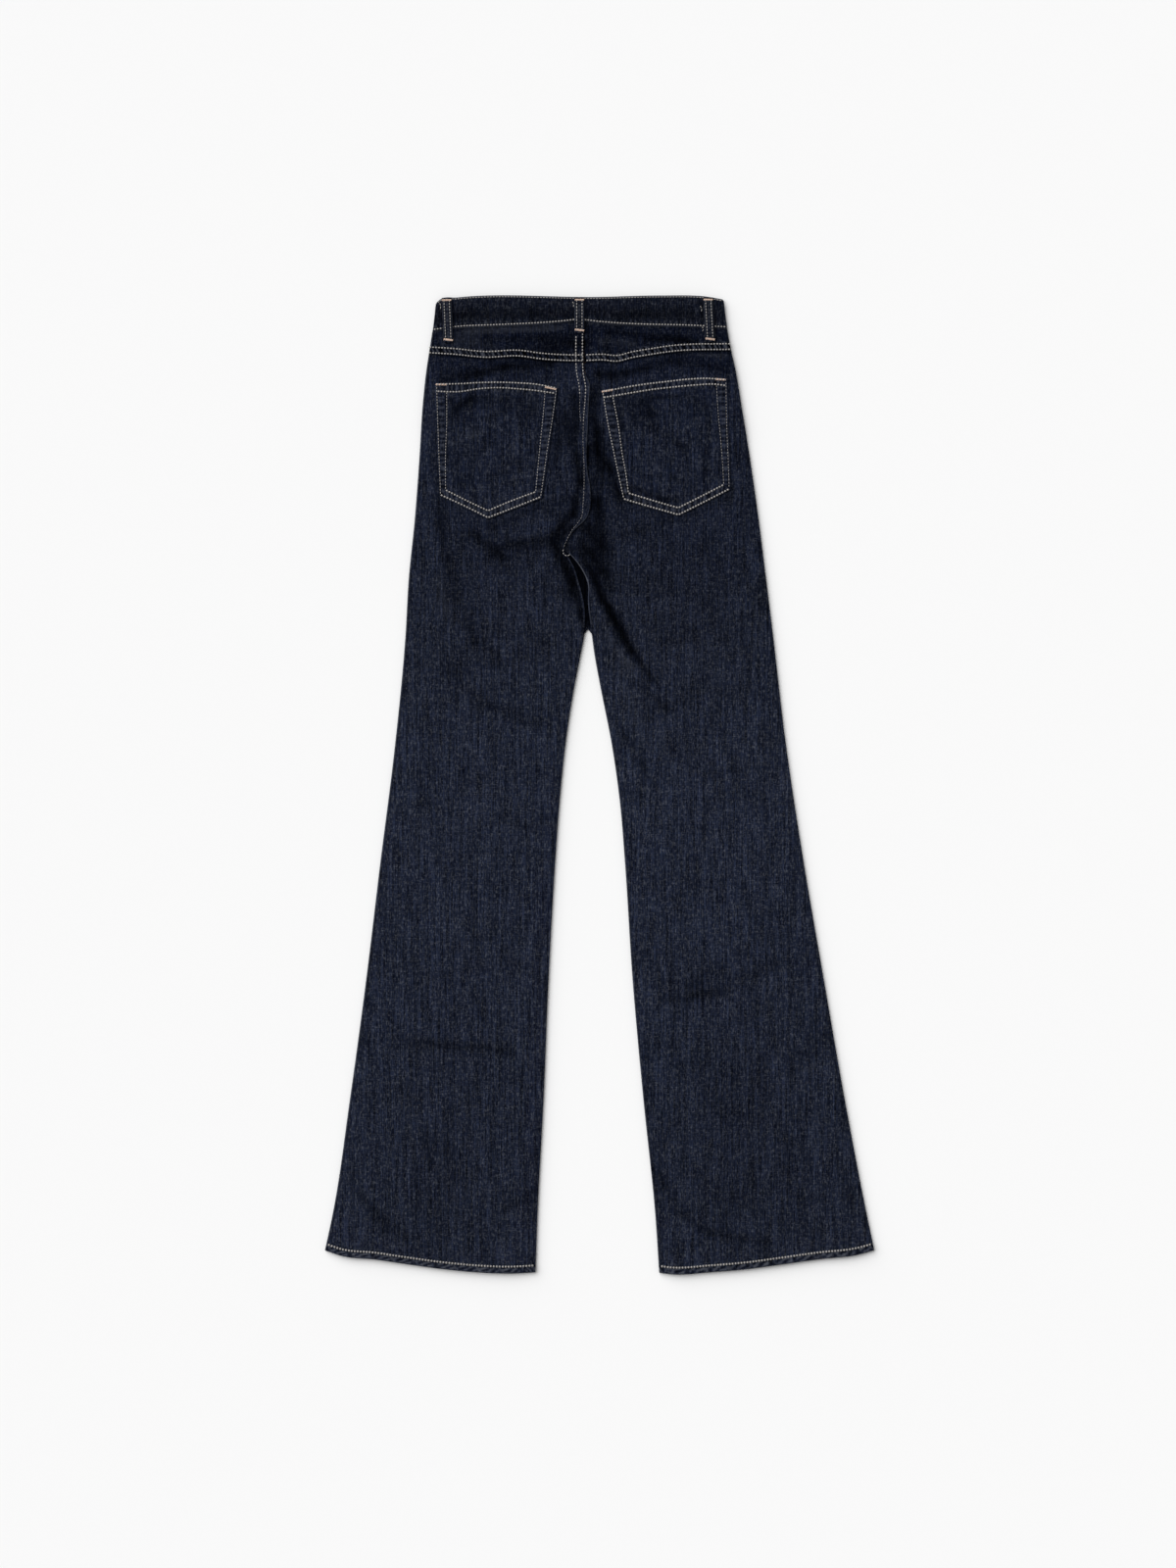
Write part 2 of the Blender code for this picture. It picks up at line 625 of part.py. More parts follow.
def button_y():
    """Half way up the front of the waistband at the centre."""
    return float(front_foot(np.array(CENTRE_X - BUTTON_FROM_END))) + BAND_HEIGHT / 2


def make_pockets(material, collection):
    """The back pockets: pentagons that follow the panel under them, moved out."""
    for pocket in POCKETS:
        side = "left" if pocket.name.endswith("left") else "right"
        corners = (pocket.top_left, pocket.top_right, pocket.foot_left, pocket.foot_right)
        top_l, top_r, foot_l, foot_r = (np.array(corner) for corner in corners)
        tip_share = (pocket.tip.x - foot_l[0]) / (foot_r[0] - foot_l[0])
        across = np.concatenate((np.linspace(0, tip_share, 7), np.linspace(tip_share, 1, 7)[1:]))
        down = np.linspace(0, 1, 13)[:, None, None]
        top = top_l + (top_r - top_l) * across[:, None]
        top[:, 1] += POCKET_MOUTH_RISE * 4 * across * (1 - across)
        foot = foot_l + (foot_r - foot_l) * across[:, None]
        chord = foot_l[1] + (foot_r[1] - foot_l[1]) * tip_share
        peak = 1 - np.abs(across - tip_share) / np.where(across < tip_share, tip_share,
                                                         1 - tip_share)
        foot[:, 1] += (pocket.tip.y - chord) * peak
        plan = foot[None] + (top - foot)[None] * down
        x, y = plan[..., 0], plan[..., 1]
        z = back_inside(side, x, y) + CLOTH + GAP + 0.05
        sheet(pocket.name, stack(x, y, z), material, collection, CLOTH)


def make_back_loops(material, collection):
    """Back belt loops: from the top of the waistband to the yoke, arched between the tacks."""
    for loop in BACK_LOOPS:
        y_top = float(line_height(WAIST_TOP, np.array(loop.x_top))) - 0.8
        y = np.linspace(loop.y_foot, y_top, 14)[:, None]
        run = (y - loop.y_foot) / (y_top - loop.y_foot)
        middle = loop.x_foot + (loop.x_top - loop.x_foot) * run
        x = middle + np.array([-0.5, 0.0, 0.5])[None, :] * LOOP_WIDTH
        band_foot = line_height(WAIST_FOOT, x)
        side = "left" if loop.x_top < CENTRE_X + 5 else "right"
        yoke = back_inside(side, x, y) + CLOTH + SEAM_EXTRA * (loop.name == "belt_loop_centre")
        band = band_inside(x) + BAND_WALL
        under = np.where(y > band_foot - 1.5, np.maximum(band, yoke), yoke)
        over_step = 1 - ease(np.abs(y - band_foot + 1.5), 0.0, 5.0)
        z = under + (np.maximum(band, yoke) - under) * over_step * (y < band_foot)
        z = z + GAP + 0.1 + LOOP_ARCH * np.sin(np.pi * run) ** 0.7
        sheet(loop.name, stack(x, y, z), material, collection, LOOP_WALL)


def make_front_loops(material, collection):
    """Front belt loops, flat on the floor in the dents of the cloth above them."""
    for side in ("left", "right"):
        middle = CENTRE_X - toward(side) * FRONT_LOOP_REACH
        foot = float(front_foot(np.array(middle)))
        y = np.linspace(foot - FRONT_LOOP_TAIL, foot + BAND_HEIGHT - 0.8, 5)[:, None]
        x = middle + np.array([-0.5, 0.5])[None, :] * LOOP_WIDTH
        sheet(f"belt_loop_front_{side}", stack(x, y, 0.0), material, collection, LOOP_WALL)


def make_zip(material, collection):
    """The closed zip as one solid: tape, chain and slider."""
    top = float(front_foot(np.array(CENTRE_X))) - ZIP_DROP
    middle_y = top - ZIP_LENGTH / 2
    x = float(centre_front(middle_y))
    tape = block("zip", ZIP_TAPE, ZIP_LENGTH, ZIP_TAPE_WALL, x, middle_y,
                 REST_EDGE + ZIP_TAPE_WALL / 2)
    tape.data.materials.append(material)
    collection.objects.link(tape)
    chain = block("zip_chain", ZIP_CHAIN, ZIP_LENGTH - 2 * ZIP_END, ZIP_CHAIN_WALL, x, middle_y,
                  REST_EDGE + 0.1 + ZIP_CHAIN_WALL / 2)
    slider = block("zip_slider", *SLIDER, x, top - SLIDER_DROP, REST_EDGE + 0.2 + SLIDER[2] / 2)
    return tape, chain, slider


def join_zip(tape, parts, cutters):
    """Unite the chain and the slider with the tape."""
    for part in parts:
        cutters.objects.link(part)
        part.hide_render = True
        part.display_type = "WIRE"
        union = tape.modifiers.new("join", "BOOLEAN")
        union.operation = "UNION"
        union.solver = "EXACT"
        union.object = part


def make_button(material, collection):
    """The waist button, face down in its recess."""
    button = disc("button", BUTTON_RADIUS, 0.0, BUTTON_WALL, CENTRE_X - BUTTON_FROM_END,
                  button_y(), segments=28)
    button.data.materials.append(material)
    collection.objects.link(button)
    bevel = button.modifiers.new("edge", "BEVEL")
    bevel.width = 0.35 * MM
    bevel.segments = 2
    bevel.limit_method = "ANGLE"


def main():
    """Build every piece of the jeans."""
    clear_scene()
    jeans = new_collection("jeans")
    cutters = new_collection("cutters")
    denim = new_material("denim", **DENIM_FACE)
    brass = new_material("brass", **BRASS)
    make_backs(denim, jeans)
    make_yokes(denim, jeans)
    make_fronts(denim, jeans, cutters)
    make_facings(denim, jeans)
    make_waistband(denim, jeans, cutters)
    make_pockets(denim, jeans)
    make_back_loops(denim, jeans)
    make_front_loops(denim, jeans)
    tape, chain, slider = make_zip(brass, jeans)
    join_zip(tape, (chain, slider), cutters)
    make_button(brass, jeans)


main()
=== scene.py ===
"""Looks of the flared jeans laid flat, back upwards: cloth, seams, topstitching, light and camera.

Shapes are worked out in millimetres and turned to metres where a mesh is made. +Y runs to the
waist, +X to the right as the back is seen, +Z up out of the cloth.
"""

import logging
import math
from collections.abc import Callable
from dataclasses import dataclass, field
from enum import Enum
from typing import NamedTuple

import bpy
import numpy as np
from mathutils import Euler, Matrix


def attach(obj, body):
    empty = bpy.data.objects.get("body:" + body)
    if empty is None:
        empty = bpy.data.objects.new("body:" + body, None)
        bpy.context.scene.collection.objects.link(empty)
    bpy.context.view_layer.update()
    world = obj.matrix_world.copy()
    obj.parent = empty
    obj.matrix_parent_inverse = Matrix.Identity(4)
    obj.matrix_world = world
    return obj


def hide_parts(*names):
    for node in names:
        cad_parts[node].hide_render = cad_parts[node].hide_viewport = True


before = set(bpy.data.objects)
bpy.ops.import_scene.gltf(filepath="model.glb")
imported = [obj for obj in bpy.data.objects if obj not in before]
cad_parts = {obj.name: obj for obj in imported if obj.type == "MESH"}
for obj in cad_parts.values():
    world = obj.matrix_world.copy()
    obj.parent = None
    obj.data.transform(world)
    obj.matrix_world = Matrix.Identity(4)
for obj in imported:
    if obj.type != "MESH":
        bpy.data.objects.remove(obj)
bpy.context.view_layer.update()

MM = 0.001
PER_MM = 1 / MM
LOG = logging.getLogger("jeans")
Array = np.ndarray
Surface = Callable[[Array, Array], Array]


class Side(Enum):
    """The two sides of the garment as its back is seen."""

    LEFT = "left"
    RIGHT = "right"

    @property
    def inward(self) -> int:
        """+1 where the inner edge of a panel lies to its right, -1 where to its left."""
        return 1 if self is Side.LEFT else -1


class Edges(NamedTuple):
    """A height on the garment and the place of its left and right edges there."""

    y: float
    left: float
    right: float


class Point(NamedTuple):
    """A place on the garment."""

    x: float
    y: float


class Fold(NamedTuple):
    """A soft ridge (lift above 0) or trough along a line."""

    x0: float
    y0: float
    x1: float
    y1: float
    lift: float
    width: float

    def distances(self, x: Array, y: Array) -> tuple[Array, Array]:
        """How far places lie to the side of the line, and how far past its ends."""
        run_x, run_y = self.x1 - self.x0, self.y1 - self.y0
        length = math.hypot(run_x, run_y)
        along = ((x - self.x0) * run_x + (y - self.y0) * run_y) / length
        across = ((x - self.x0) * run_y - (y - self.y0) * run_x) / length
        return across, np.maximum(np.maximum(-along, along - length), 0)


def marks(*rows: tuple[float, float]) -> tuple[Point, ...]:
    """Places from pairs of x and y."""
    return tuple(Point(*row) for row in rows)


OUTSEAMS = tuple(Edges(*row) for row in (
    (-521.1, -308, 308), (-482.6, -299.8, 299.9), (-350.6, -279.9, 274.6),
    (-218.6, -262, 251.6), (-86.6, -246, 228.9), (45.4, -229.5, 209), (166.4, -217.9, 194.7),
    (232.4, -214.1, 186.6), (298.4, -207.4, 178.3), (364.4, -202.4, 169), (430.4, -198.1, 158.4),
    (463.4, -194.6, 153), (496.4, -189.6, 145.8), (529.4, -184.9, 140.9), (550, -183.2, 139)))
INSEAMS = tuple(Edges(*row) for row in (
    (-546.4, -71.9, 66.7), (-482.6, -69.7, 62.4), (-350.6, -62.8, 48.8), (-218.6, -57.3, 36.9),
    (-86.6, -49.9, 28.3), (-20.6, -45.1, 22.8), (45.4, -38.4, 13.6), (111.4, -28.2, 0.6),
    (144.4, -21.7, -5.5), (175.2, -16.4, -9.7), (205.6, -17.7, -13.2), (226.9, -23, -13.6),
    (248.9, -30.6, -24.8), (263, -40.2, -37)))
SEAT_SEAM = marks(
    (-40.4, 263), (-38.6, 270), (-29.5, 284.7), (-15.2, 298.4), (-10.8, 309), (-10, 331.4),
    (-13.5, 353.4), (-12.7, 407.3), (-11.3, 436), (-10.8, 450.2), (-16.8, 464), (-17.4, 480),
    (-17.4, 520))
SEAT_STITCH_OUTER = marks(
    (-19.1, 507.4), (-19.1, 480), (-18.4, 462.3), (-15.6, 446), (-16, 435.9), (-18, 410),
    (-18.6, 386.4), (-17.3, 353.4), (-18.5, 316), (-20.2, 301), (-26, 292.2), (-31, 286),
    (-36.5, 275.5), (-40.2, 267.2))
SEAT_STITCH_INNER = marks(
    (-26.3, 504.0), (-26.5, 480.0), (-25.6, 462.3), (-22.9, 448.0), (-22.0, 436.0), (-22.4, 423.0),
    (-21.2, 407.5))
CROTCH_HOOK = marks(
    (-40.4, 265.0), (-41.2, 261.5), (-39.6, 258.6), (-36.1, 257.4), (-33.0, 259.0))
WAIST_TOP = marks(
    (-185, 539.5), (-179, 544.8), (-160, 547), (0, 547.6), (70, 549.2), (120, 548),
    (139.5, 544.8))
WAIST_FOOT = marks(
    (-188, 508.2), (-163, 511.3), (-110, 513.8), (-60, 516.3), (-42, 517.8),
    (-22, 519.6), (-2, 517.4), (20, 515.6), (41, 514.5), (92, 513.3), (144, 511.3))
YOKE_SEAM = marks(
    (-193, 483.5), (-163, 481.5), (-129, 478.2), (-90, 479.6), (-66, 476.4),
    (-17, 474.4), (3, 475.2), (20, 473.8), (36, 477.7), (54, 480.8), (79, 484.6),
    (150, 487.2))
HEMS = {
    Side.LEFT: marks(
        (-308, -522), (-290, -528), (-251.7, -532.1), (-214.7, -537.6), (-173.5, -543.1),
        (-137.5, -546.4), (-101, -547.8), (-72, -546.6)),
    Side.RIGHT: marks(
        (66.7, -547), (79, -548.6), (124.2, -546.4), (163.4, -543.1), (204.6, -537.6),
        (243.8, -532.1), (290, -526.6), (308, -521.8)),
}
FOLDS = tuple(Fold(*row) for row in (
    (-70.2, 499.7, -28.4, 508.5, -0.5, 5), (-4, 507, 24, 500, -0.9, 5),
    (-12, 490, -2, 478, -0.6, 6), (-138, 466, -104, 475.5, -0.8, 8),
    (82.7, 478.8, 112.4, 468.9, -0.8, 8), (0, 455, 2, 352.3, -1.3, 8), (2, 392, 17, 364, -0.6, 9),
    (2, 352, 6, 300, -1.2, 8), (-6.4, 276, 11, 221, -1.1, 8), (6, 288, -12, 262, 1.1, 8),
    (14, 292, 2, 266, -0.5, 4), (-48, 350, -24, 305, -1, 9), (-97.7, 265.4, -44, 276, -1.2, 7),
    (-92, 274, -50, 286, 0.5, 7), (-175.8, 291.8, -158, 208, -0.7, 9),
    (-9.7, 228, 1.3, 208.8, -1.3, 6), (1.3, 208.8, 21.1, 178.5, -1.7, 6),
    (21.1, 178.5, 42, 144.4, -1.7, 6), (42, 144.4, 57.4, 113.6, -1.3, 7),
    (-5, 205, 13.6, 174, 1.9, 7), (13.6, 174, 33.5, 140, 1.9, 7), (33.5, 140, 52, 110, 1.2, 8),
    (7.9, 103.7, 33.2, 39.9, -1, 11), (33.2, 39.9, 61.8, -4, -0.9, 11),
    (61.8, -4, 71.7, -33.8, -0.6, 11), (24, 106, 47, 48, 0.6, 11),
    (-179, 127.9, -124, 89.4, -0.8, 12), (-124, 89.4, -75.7, 71.8, -0.7, 12),
    (-149, -294.5, -95.5, -294.5, -0.8, 11), (-271.5, -456.2, -237.4, -495.8, -0.9, 10),
    (-109.8, -471.6, -75.7, -451.8, -0.8, 10), (61.8, -196.6, 121.2, -235, -0.8, 12),
    (121.2, -235, 170.7, -205.4, -0.7, 12), (61.8, -436.4, 87.1, -476, -0.9, 10),
    (87.1, -485.9, 121.2, -495.8, -0.6, 9),
))
# Painted shade where creases, hollows and the edges of pockets and yoke lie in shadow, and a few
# painted highlights where lift is above 0: lift is the share of colour taken away
SHADES = tuple(Fold(*row) for row in (
    (-178, 459, -136, 462.5, -0.45, 6), (-136, 462.5, -106, 469.5, -0.55, 5),
    (-106, 469.5, -54, 471, -0.55, 5), (0, 461, 30, 461, -0.65, 6), (30, 462.5, 50, 466, -0.4, 5),
    (50, 468, 79, 475, -0.45, 5), (79, 475.4, 139.2, 467.5, -0.5, 5),
    (-170, 529.5, -32, 530, -0.36, 6.5), (-10, 530, 100, 530.5, -0.36, 6.5),
    (-100, 500, -32.7, 506, -0.3, 3), (-60, 494, -30, 500, -0.3, 6),
    (10.3, 507.6, 100.5, 502, -0.45, 3), (-168, 430, -152, 405, -0.35, 6),
    (-136, 430, -75, 424, -0.3, 6), (-160, 362, -128, 388, -0.3, 4.5),
    (-124, 345, -100, 352, -0.25, 4), (-152, 337, -146, 345, -0.3, 5),
    (30, 424, 50, 428, -0.35, 8), (66, 396, 96, 378.7, -0.28, 3.5), (36, 334, 70, 321, -0.35, 4),
    (-37, 415, -33, 383, -0.68, 7), (-28.4, 372, -21, 340, -0.75, 5.5),
    (-21, 340, -30, 305.7, -0.72, 6), (-30, 305.7, -50, 282, -0.75, 6),
    (-49, 268, -31, 228, -0.85, 7.5), (-31, 228, -21, 190, -0.7, 5), (-4, 440, -5, 413, -0.45, 5),
    (-6, 413, -2, 374.4, -0.72, 6), (0, 372, 12, 355, -0.72, 5), (12, 357, 22, 322.9, -0.6, 4),
    (1, 352, 0, 318, -0.6, 5), (-2, 318, 2, 268, -0.86, 9), (-10, 262, 2, 240, -0.9, 9),
    (-22, 275, -12, 262, -0.75, 4.5), (-5, 235, 2, 206, -0.9, 5.5), (11, 200, 36, 151, -0.92, 5.5),
    (36, 151, 60, 119, -0.75, 4.5), (70, 321, 88, 318, -0.3, 4), (41, 113.7, 77.6, 84, -0.42, 4.5),
    (14.6, 79.3, 27, 55, -0.35, 4.5), (-144, 284, -114.3, 263.5, -0.5, 6),
    (-114.3, 262.7, -97, 270, -0.42, 6.5), (-97, 271, -54, 276, -0.55, 6),
    (-178.8, 310, -170.2, 254, -0.4, 5), (-170.2, 254, -144.4, 176.8, -0.32, 5.5),
    (23, 280, 57.5, 288.5, -0.35, 6), (118, 276, 132, 258, -0.25, 10),
    (70.4, 234, 44.6, 219.7, -0.28, 9), (-152, 182, -140, 162, -0.3, 5),
    (-140, 162, -111.5, 142, -0.3, 6), (-157.3, 113.7, -134.4, 85, -0.28, 6),
    (-100, 86, -71.4, 67.8, -0.36, 7), (-111, -35, -77, -46.8, -0.2, 7),
    (-192, -287.4, -168.8, -293, -0.4, 5), (-145.8, -293, -123, -296, -0.3, 5),
    (-254.7, -474, -218, -507, -0.36, 6), (-105.7, -476.5, -77, -456.4, -0.4, 5),
    (-174.5, -380, -174.5, -475, -0.22, 16), (72, -241.6, 106.3, -235.9, -0.4, 5),
    (106.3, -235.9, 135, -229, -0.4, 5), (94.8, -46.8, 112, -46.8, -0.25, 8),
    (209.4, -427, 215, -402, -0.32, 7), (60.4, -430.7, 94.8, -482.2, -0.34, 5),
    (94.8, -482.2, 123.5, -502.3, -0.42, 5), (123.5, -502.3, 186.5, -513, -0.42, 5),
    (238, -264.5, 220.9, -321.8, -0.25, 7), (54.7, -285, 61, -358, -0.25, 4),
    (-14, 290, -8, 276, -0.82, 5.5), (-24, 266, -4, 226, -0.72, 4), (-4, 226, 14.6, 189, -0.6, 4),
    (14.6, 189, 30, 160, -0.5, 4), (-30, 245.5, -17, 194, -0.45, 4.5),
    (-27, 436, -26, 400, -0.6, 3.5), (-6, 380, -3, 360, -0.6, 5), (-45.5, 412, -47, 378, -0.45, 4),
    (10.3, 361.5, 23.2, 322.9, -0.4, 4), (-161.6, 421.7, -142, 434, -0.3, 5),
    (-144.4, 361.5, -123, 383, -0.3, 3.5), (-157, 343, -157, 336, -0.25, 5),
    (-105.8, 340, -98, 338, -0.25, 5), (49, 430.3, 57.5, 417.4, -0.4, 7),
    (23, 420, 26, 400, -0.4, 4), (108, 428, 118, 424, -0.25, 8), (62, 349, 83, 344, -0.28, 3.5),
    (-178.8, 454, -140, 460.4, -0.35, 3), (-140, 460.4, -97, 471, -0.35, 3),
    (10.3, 460.4, 49, 466.8, -0.35, 3), (40, 408, 52, 402, -0.25, 6),
    (-120, 290.5, -62, 317.5, -0.22, 4), (27, 313, 88, 294.5, -0.18, 3.5),
    (88, 294.5, 146, 324, -0.2, 3.5), (-182, 320, -125, 292, -0.08, 3.5),
    (-116, 262, -110, 255, -0.35, 5), (-88.6, 267, -50, 271.3, -0.3, 3.5),
    (-178.8, 322.9, -178.8, 288.5, -0.3, 4), (-163, 215, -158, 200, -0.25, 5),
    (-56, 219.7, -34, 215.4, -0.35, 6), (110, 258, 126, 248, -0.22, 9),
    (-172, 527, -120, 531, -0.2, 6), (-100, 531, 100, 532, -0.15, 5),
    (150, -350, 170, -480, -0.16, 50), (-30, 436, -23, 395, -0.45, 5), (-3, 400, 3, 356, -0.7, 6),
    (-49, 362, -46, 386, -0.45, 4), (-37, 323, -44, 306, -0.35, 5),
    (-46, 277, -33, 289, -0.55, 4.5), (-18, 284, -9, 281, -0.4, 5),
    (-33, 268, -28, 236, -0.55, 4.5), (-20, 192, -13.5, 172, -0.75, 5),
    (-11, 245, 14.5, 185, -0.55, 3.5), (14.5, 177, 24, 160, -0.4, 4),
    (-106, 254, -54, 269, -0.3, 3), (-118, 289, -72, 310, -0.3, 3.5),
    (-144, 282, -117, 256, -0.35, 4), (-180, 297, -168, 237, -0.3, 3.5),
    (-168, 237, -162, 205, -0.25, 3.5), (-156, 427, -145, 434, -0.5, 4.5),
    (-168, 412, -167, 398, -0.25, 4), (-123, 411, -106, 420, -0.38, 4.5),
    (-88, 405, -72, 421, -0.3, 5), (-140, 371, -156, 346, -0.22, 4.5),
    (-101, 359, -77, 373, -0.25, 4), (41, 413, 57, 417, -0.42, 7), (60, 435, 100, 437, -0.35, 2.5),
    (118, 434, 121.5, 392, -0.22, 4.5), (79, 396, 96, 371, -0.25, 3.5),
    (83, 344, 100, 336, -0.28, 3.5), (117, 353, 101, 330, -0.22, 4.5),
    (28, 306, 44, 285, -0.25, 5), (69, 293, 79, 297, -0.28, 4), (15, 263, 27, 237, -0.25, 8),
    (58, 211, 96, 220, -0.15, 4), (-127, 500, -33, 500, -0.3, 3.5), (-53, 490, -45, 482, -0.3, 8),
    (-33, 497, -20, 493, -0.5, 4.5), (50, 500, 108, 498, -0.65, 3), (74, 502, 101, 497, -0.5, 3.5),
    (1, 460, 19, 454, -0.45, 4.5), (-157, 460, -123, 463, -0.3, 4), (-118, 467, -54, 473, -0.3, 4),
    (28, 465, 57, 469, -0.25, 4), (58, 434, 88, 436, -0.35, 3), (-183, 523, -168, 534, -0.3, 5),
    (20, 527, 62, 527, -0.25, 5), (118, 527, 126, 522, -0.3, 5), (-186, 400, -184, 280, -0.16, 6),
    (-10, 210, 2, 175, -0.3, 3), (-135, 141, -110, 133, -0.3, 5), (-175, 150, -152, 128, -0.2, 6),
    (30, 52, 60, 5, -0.2, 6), (80, 168, 140, 183, -0.2, 7), (60, 83, 100, 95, -0.25, 5),
    (-215, -287, -100, -300, -0.2, 6), (100, -222, 135, -205, -0.3, 8),
    (80, -225, 125, -235, -0.2, 6), (-198, -390, -192, -430, -0.25, 5),
    (2, 398, 10, 354, -0.35, 6), (-13, 378, -12, 360, -0.6, 4), (-42, 255, -28, 214, -0.35, 6),
    (-3.7, 218, 6.6, 202, -0.4, 4), (6, 345, 24, 322, -0.4, 6), (-5, 446, -5, 425, -0.4, 4.5),
    (-100, 491, -40, 491, -0.2, 9), (-169, 131, -128, 92, -0.3, 4.5), (5, 268, 11, 222, -0.5, 7),
    (6, 211, 19, 177, -0.45, 3.5), (-8, 268, -1, 243, 0.2, 3.5), (-28, 288, -5, 288, -0.3, 3),
    (-30, 322, -27, 300, -0.6, 4), (-40, 292, -30, 286, -0.5, 4), (16, 428, 25, 398, -0.45, 4),
    (-28, 402, -20, 352, -0.4, 4), (-160, 525, -30, 525.5, -0.28, 4.5),
    (0, 525.5, 115, 526, -0.25, 4.5), (-150, 509, -45, 512, 0.1, 4), (90, 478, 143, 483, 0.07, 5),
    (-183, 452, -150, 455, -0.35, 3), (-150, 455, -128, 460, -0.35, 3),
    (-187, 443, -60, 443, 0.06, 4), (-97, 478, -50, 486, -0.3, 7), (-172, 500, -108, 496, 0.06, 6),
    (-33, 494, -15, 496, -0.45, 4), (-168, 415, -130, 436, -0.25, 4),
    (-150, 402, -138, 388, 0.06, 8), (-114, 345, -70, 372, 0.05, 9), (44, 352, 60, 330, -0.3, 4),
    (60, 400, 92, 350, -0.06, 30), (118, 376, 118, 346, -0.25, 4), (56, 415, 60, 400, -0.3, 4.5),
    (-71, 316, -54, 304, -0.3, 5), (-114, 262, -101, 240, -0.28, 5),
    (-63, 258, -46, 222, -0.13, 9), (70, 300, 82, 256, -0.14, 7), (-16, 165, -18, 120, -0.12, 5),
    (-48, 318, -32, 322, -0.3, 5), (-40, 274, -34, 256, -0.35, 5), (-17, 254, -11, 236, -0.4, 3),
    (8, 196, 16, 172, -0.4, 3.5), (-124, 290, -112, 277, -0.35, 4.5),
    (-121, 254, -116, 246, -0.3, 5), (2, 498, 38, 495, 0.05, 4), (11, 492, 13, 470, -0.3, 3),
    (-138, 436, -70, 431, -0.3, 2.5), (42, 333, 70, 319, -0.3, 3.5),
    (70, 319, 118, 330, -0.22, 3.5), (-106, 361, -71, 358, -0.2, 3),
    (-180, 228, -172, 196, 0.05, 7), (-176, 538, -174, 519, -0.5, 6),
    (116, 538, 117, 524, -0.45, 6), (-22, 541, -22, 518, -0.4, 6), (-128, 92, -83, 68, -0.3, 4.5),
    (-270, -458, -233, -508, -0.35, 6), (-205, -450, -203, -492, -0.18, 10),
    (-226, -293, -100, -294, -0.18, 5), (-111, -295, -78, -314, -0.2, 8),
    (158, -218, 204, -198, -0.32, 8), (123, -240, 146, -231, -0.28, 7),
    (80, -232, 88, -258, -0.22, 6), (240, -286, 242, -300, -0.32, 7),
    (72, 161, 146, 163, -0.25, 4), (95, 108, 158, 108, -0.13, 9), (123, 12, 158, 22, -0.2, 8),
    (206, 22, 208, 10, -0.3, 5), (38, 39, 66, -7, -0.2, 5), (-14, 184, -13, 170, -0.6, 5),
    (-77, 159, -42, 159, -0.22, 5), (72, -440, 73, -492, -0.22, 8),
    (267, -420, 278, -465, -0.18, 8), (221, -464, 238, -466, -0.22, 8),
    (152, -462, 163, -470, -0.18, 8), (-157, -436, -134, -436, -0.14, 8),
    (-212, 14, -198, 0, -0.18, 6),
))
# Troughs on the hidden front, of the same kinds: a fan at the fork, drags at hip, knee and hem; each
# is a real trough in the relief and painted shade in the colour.
FRONT_SHADES = tuple(Fold(*row) for row in (
    (-22, 180, -82, 236, -0.55, 7), (-24, 196, -60, 268, -0.4, 6), (-4, 184, 52, 244, -0.55, 7),
    (2, 200, 34, 272, -0.4, 6), (-40, 160, -112, 148, -0.45, 7), (14, 158, 86, 150, -0.4, 7),
    (-60, 130, -120, 104, -0.3, 8), (52, 128, 96, 96, -0.35, 7), (-196, 300, -136, 322, -0.3, 8),
    (184, 306, 120, 334, -0.3, 8), (-178, 232, -130, 246, -0.25, 7), (170, 214, 118, 236, -0.3, 7),
    (-200, 60, -160, 20, -0.25, 8), (196, 44, 170, 6, -0.22, 8), (-196, -52, -128, -40, -0.3, 7),
    (-112, -24, -78, -12, -0.25, 6), (104, -44, 168, -56, -0.3, 7), (92, 2, 138, 12, -0.22, 6),
    (-214, -316, -140, -330, -0.28, 8), (112, -300, 190, -318, -0.28, 8),
    (-236, -440, -206, -500, -0.3, 7), (-104, -470, -88, -510, -0.25, 6),
    (240, -430, 214, -496, -0.3, 7), (86, -452, 104, -505, -0.28, 6),
    (-62, 468, -50, 436, -0.35, 5), (38, 466, 52, 430, -0.35, 5), (-120, 452, -96, 426, -0.25, 6),
    (104, 450, 84, 420, -0.25, 6),
))


def through(knots: Array, values: Array, at: Array) -> Array:
    """A smooth curve through values at rising knots, straight on beyond both ends.

    Each cell is a cubic whose end slopes are taken from the neighbouring rows.

    Args:
        knots: rising places.
        values: the value at each.
        at: where to read the curve.

    Returns:
        The curve's value at each place.
    """
    knots, values, at = (np.asarray(part, float) for part in (knots, values, at))
    slopes = np.gradient(values, knots)
    inside = np.clip(at, knots[0], knots[-1])
    cell = np.clip(np.searchsorted(knots, inside) - 1, 0, len(knots) - 2)
    step = knots[cell + 1] - knots[cell]
    t = (inside - knots[cell]) / step
    curve = (values[cell] * (1 + 2 * t) * (1 - t) ** 2 + slopes[cell] * step * t * (1 - t) ** 2
             + values[cell + 1] * t * t * (3 - 2 * t) - slopes[cell + 1] * step * t * t * (1 - t))
    return curve + (at - inside) * np.where(at > knots[-1], slopes[-1], slopes[0])


def line_y(points: tuple[Point, ...], x: Array) -> Array:
    """The y of a table of points at x."""
    return through([p.x for p in points], [p.y for p in points], x)


def line_x(points: tuple[Point, ...], y: Array) -> Array:
    """The x of a table of points at y, whichever way the table runs."""
    rising = sorted(points, key=lambda p: p.y)
    return through([p.y for p in rising], [p.x for p in rising], y)


def edge_x(rows: tuple[Edges, ...], side: Side, y: Array) -> Array:
    """The x of one side of a table of edges at y."""
    return through([row.y for row in rows], [getattr(row, side.value) for row in rows], y)


def ease(at: Array, low: float, high: float) -> Array:
    """0 below low, 1 above high, smooth between."""
    t = np.clip((at - low) / (high - low), 0, 1)
    return t * t * (3 - 2 * t)


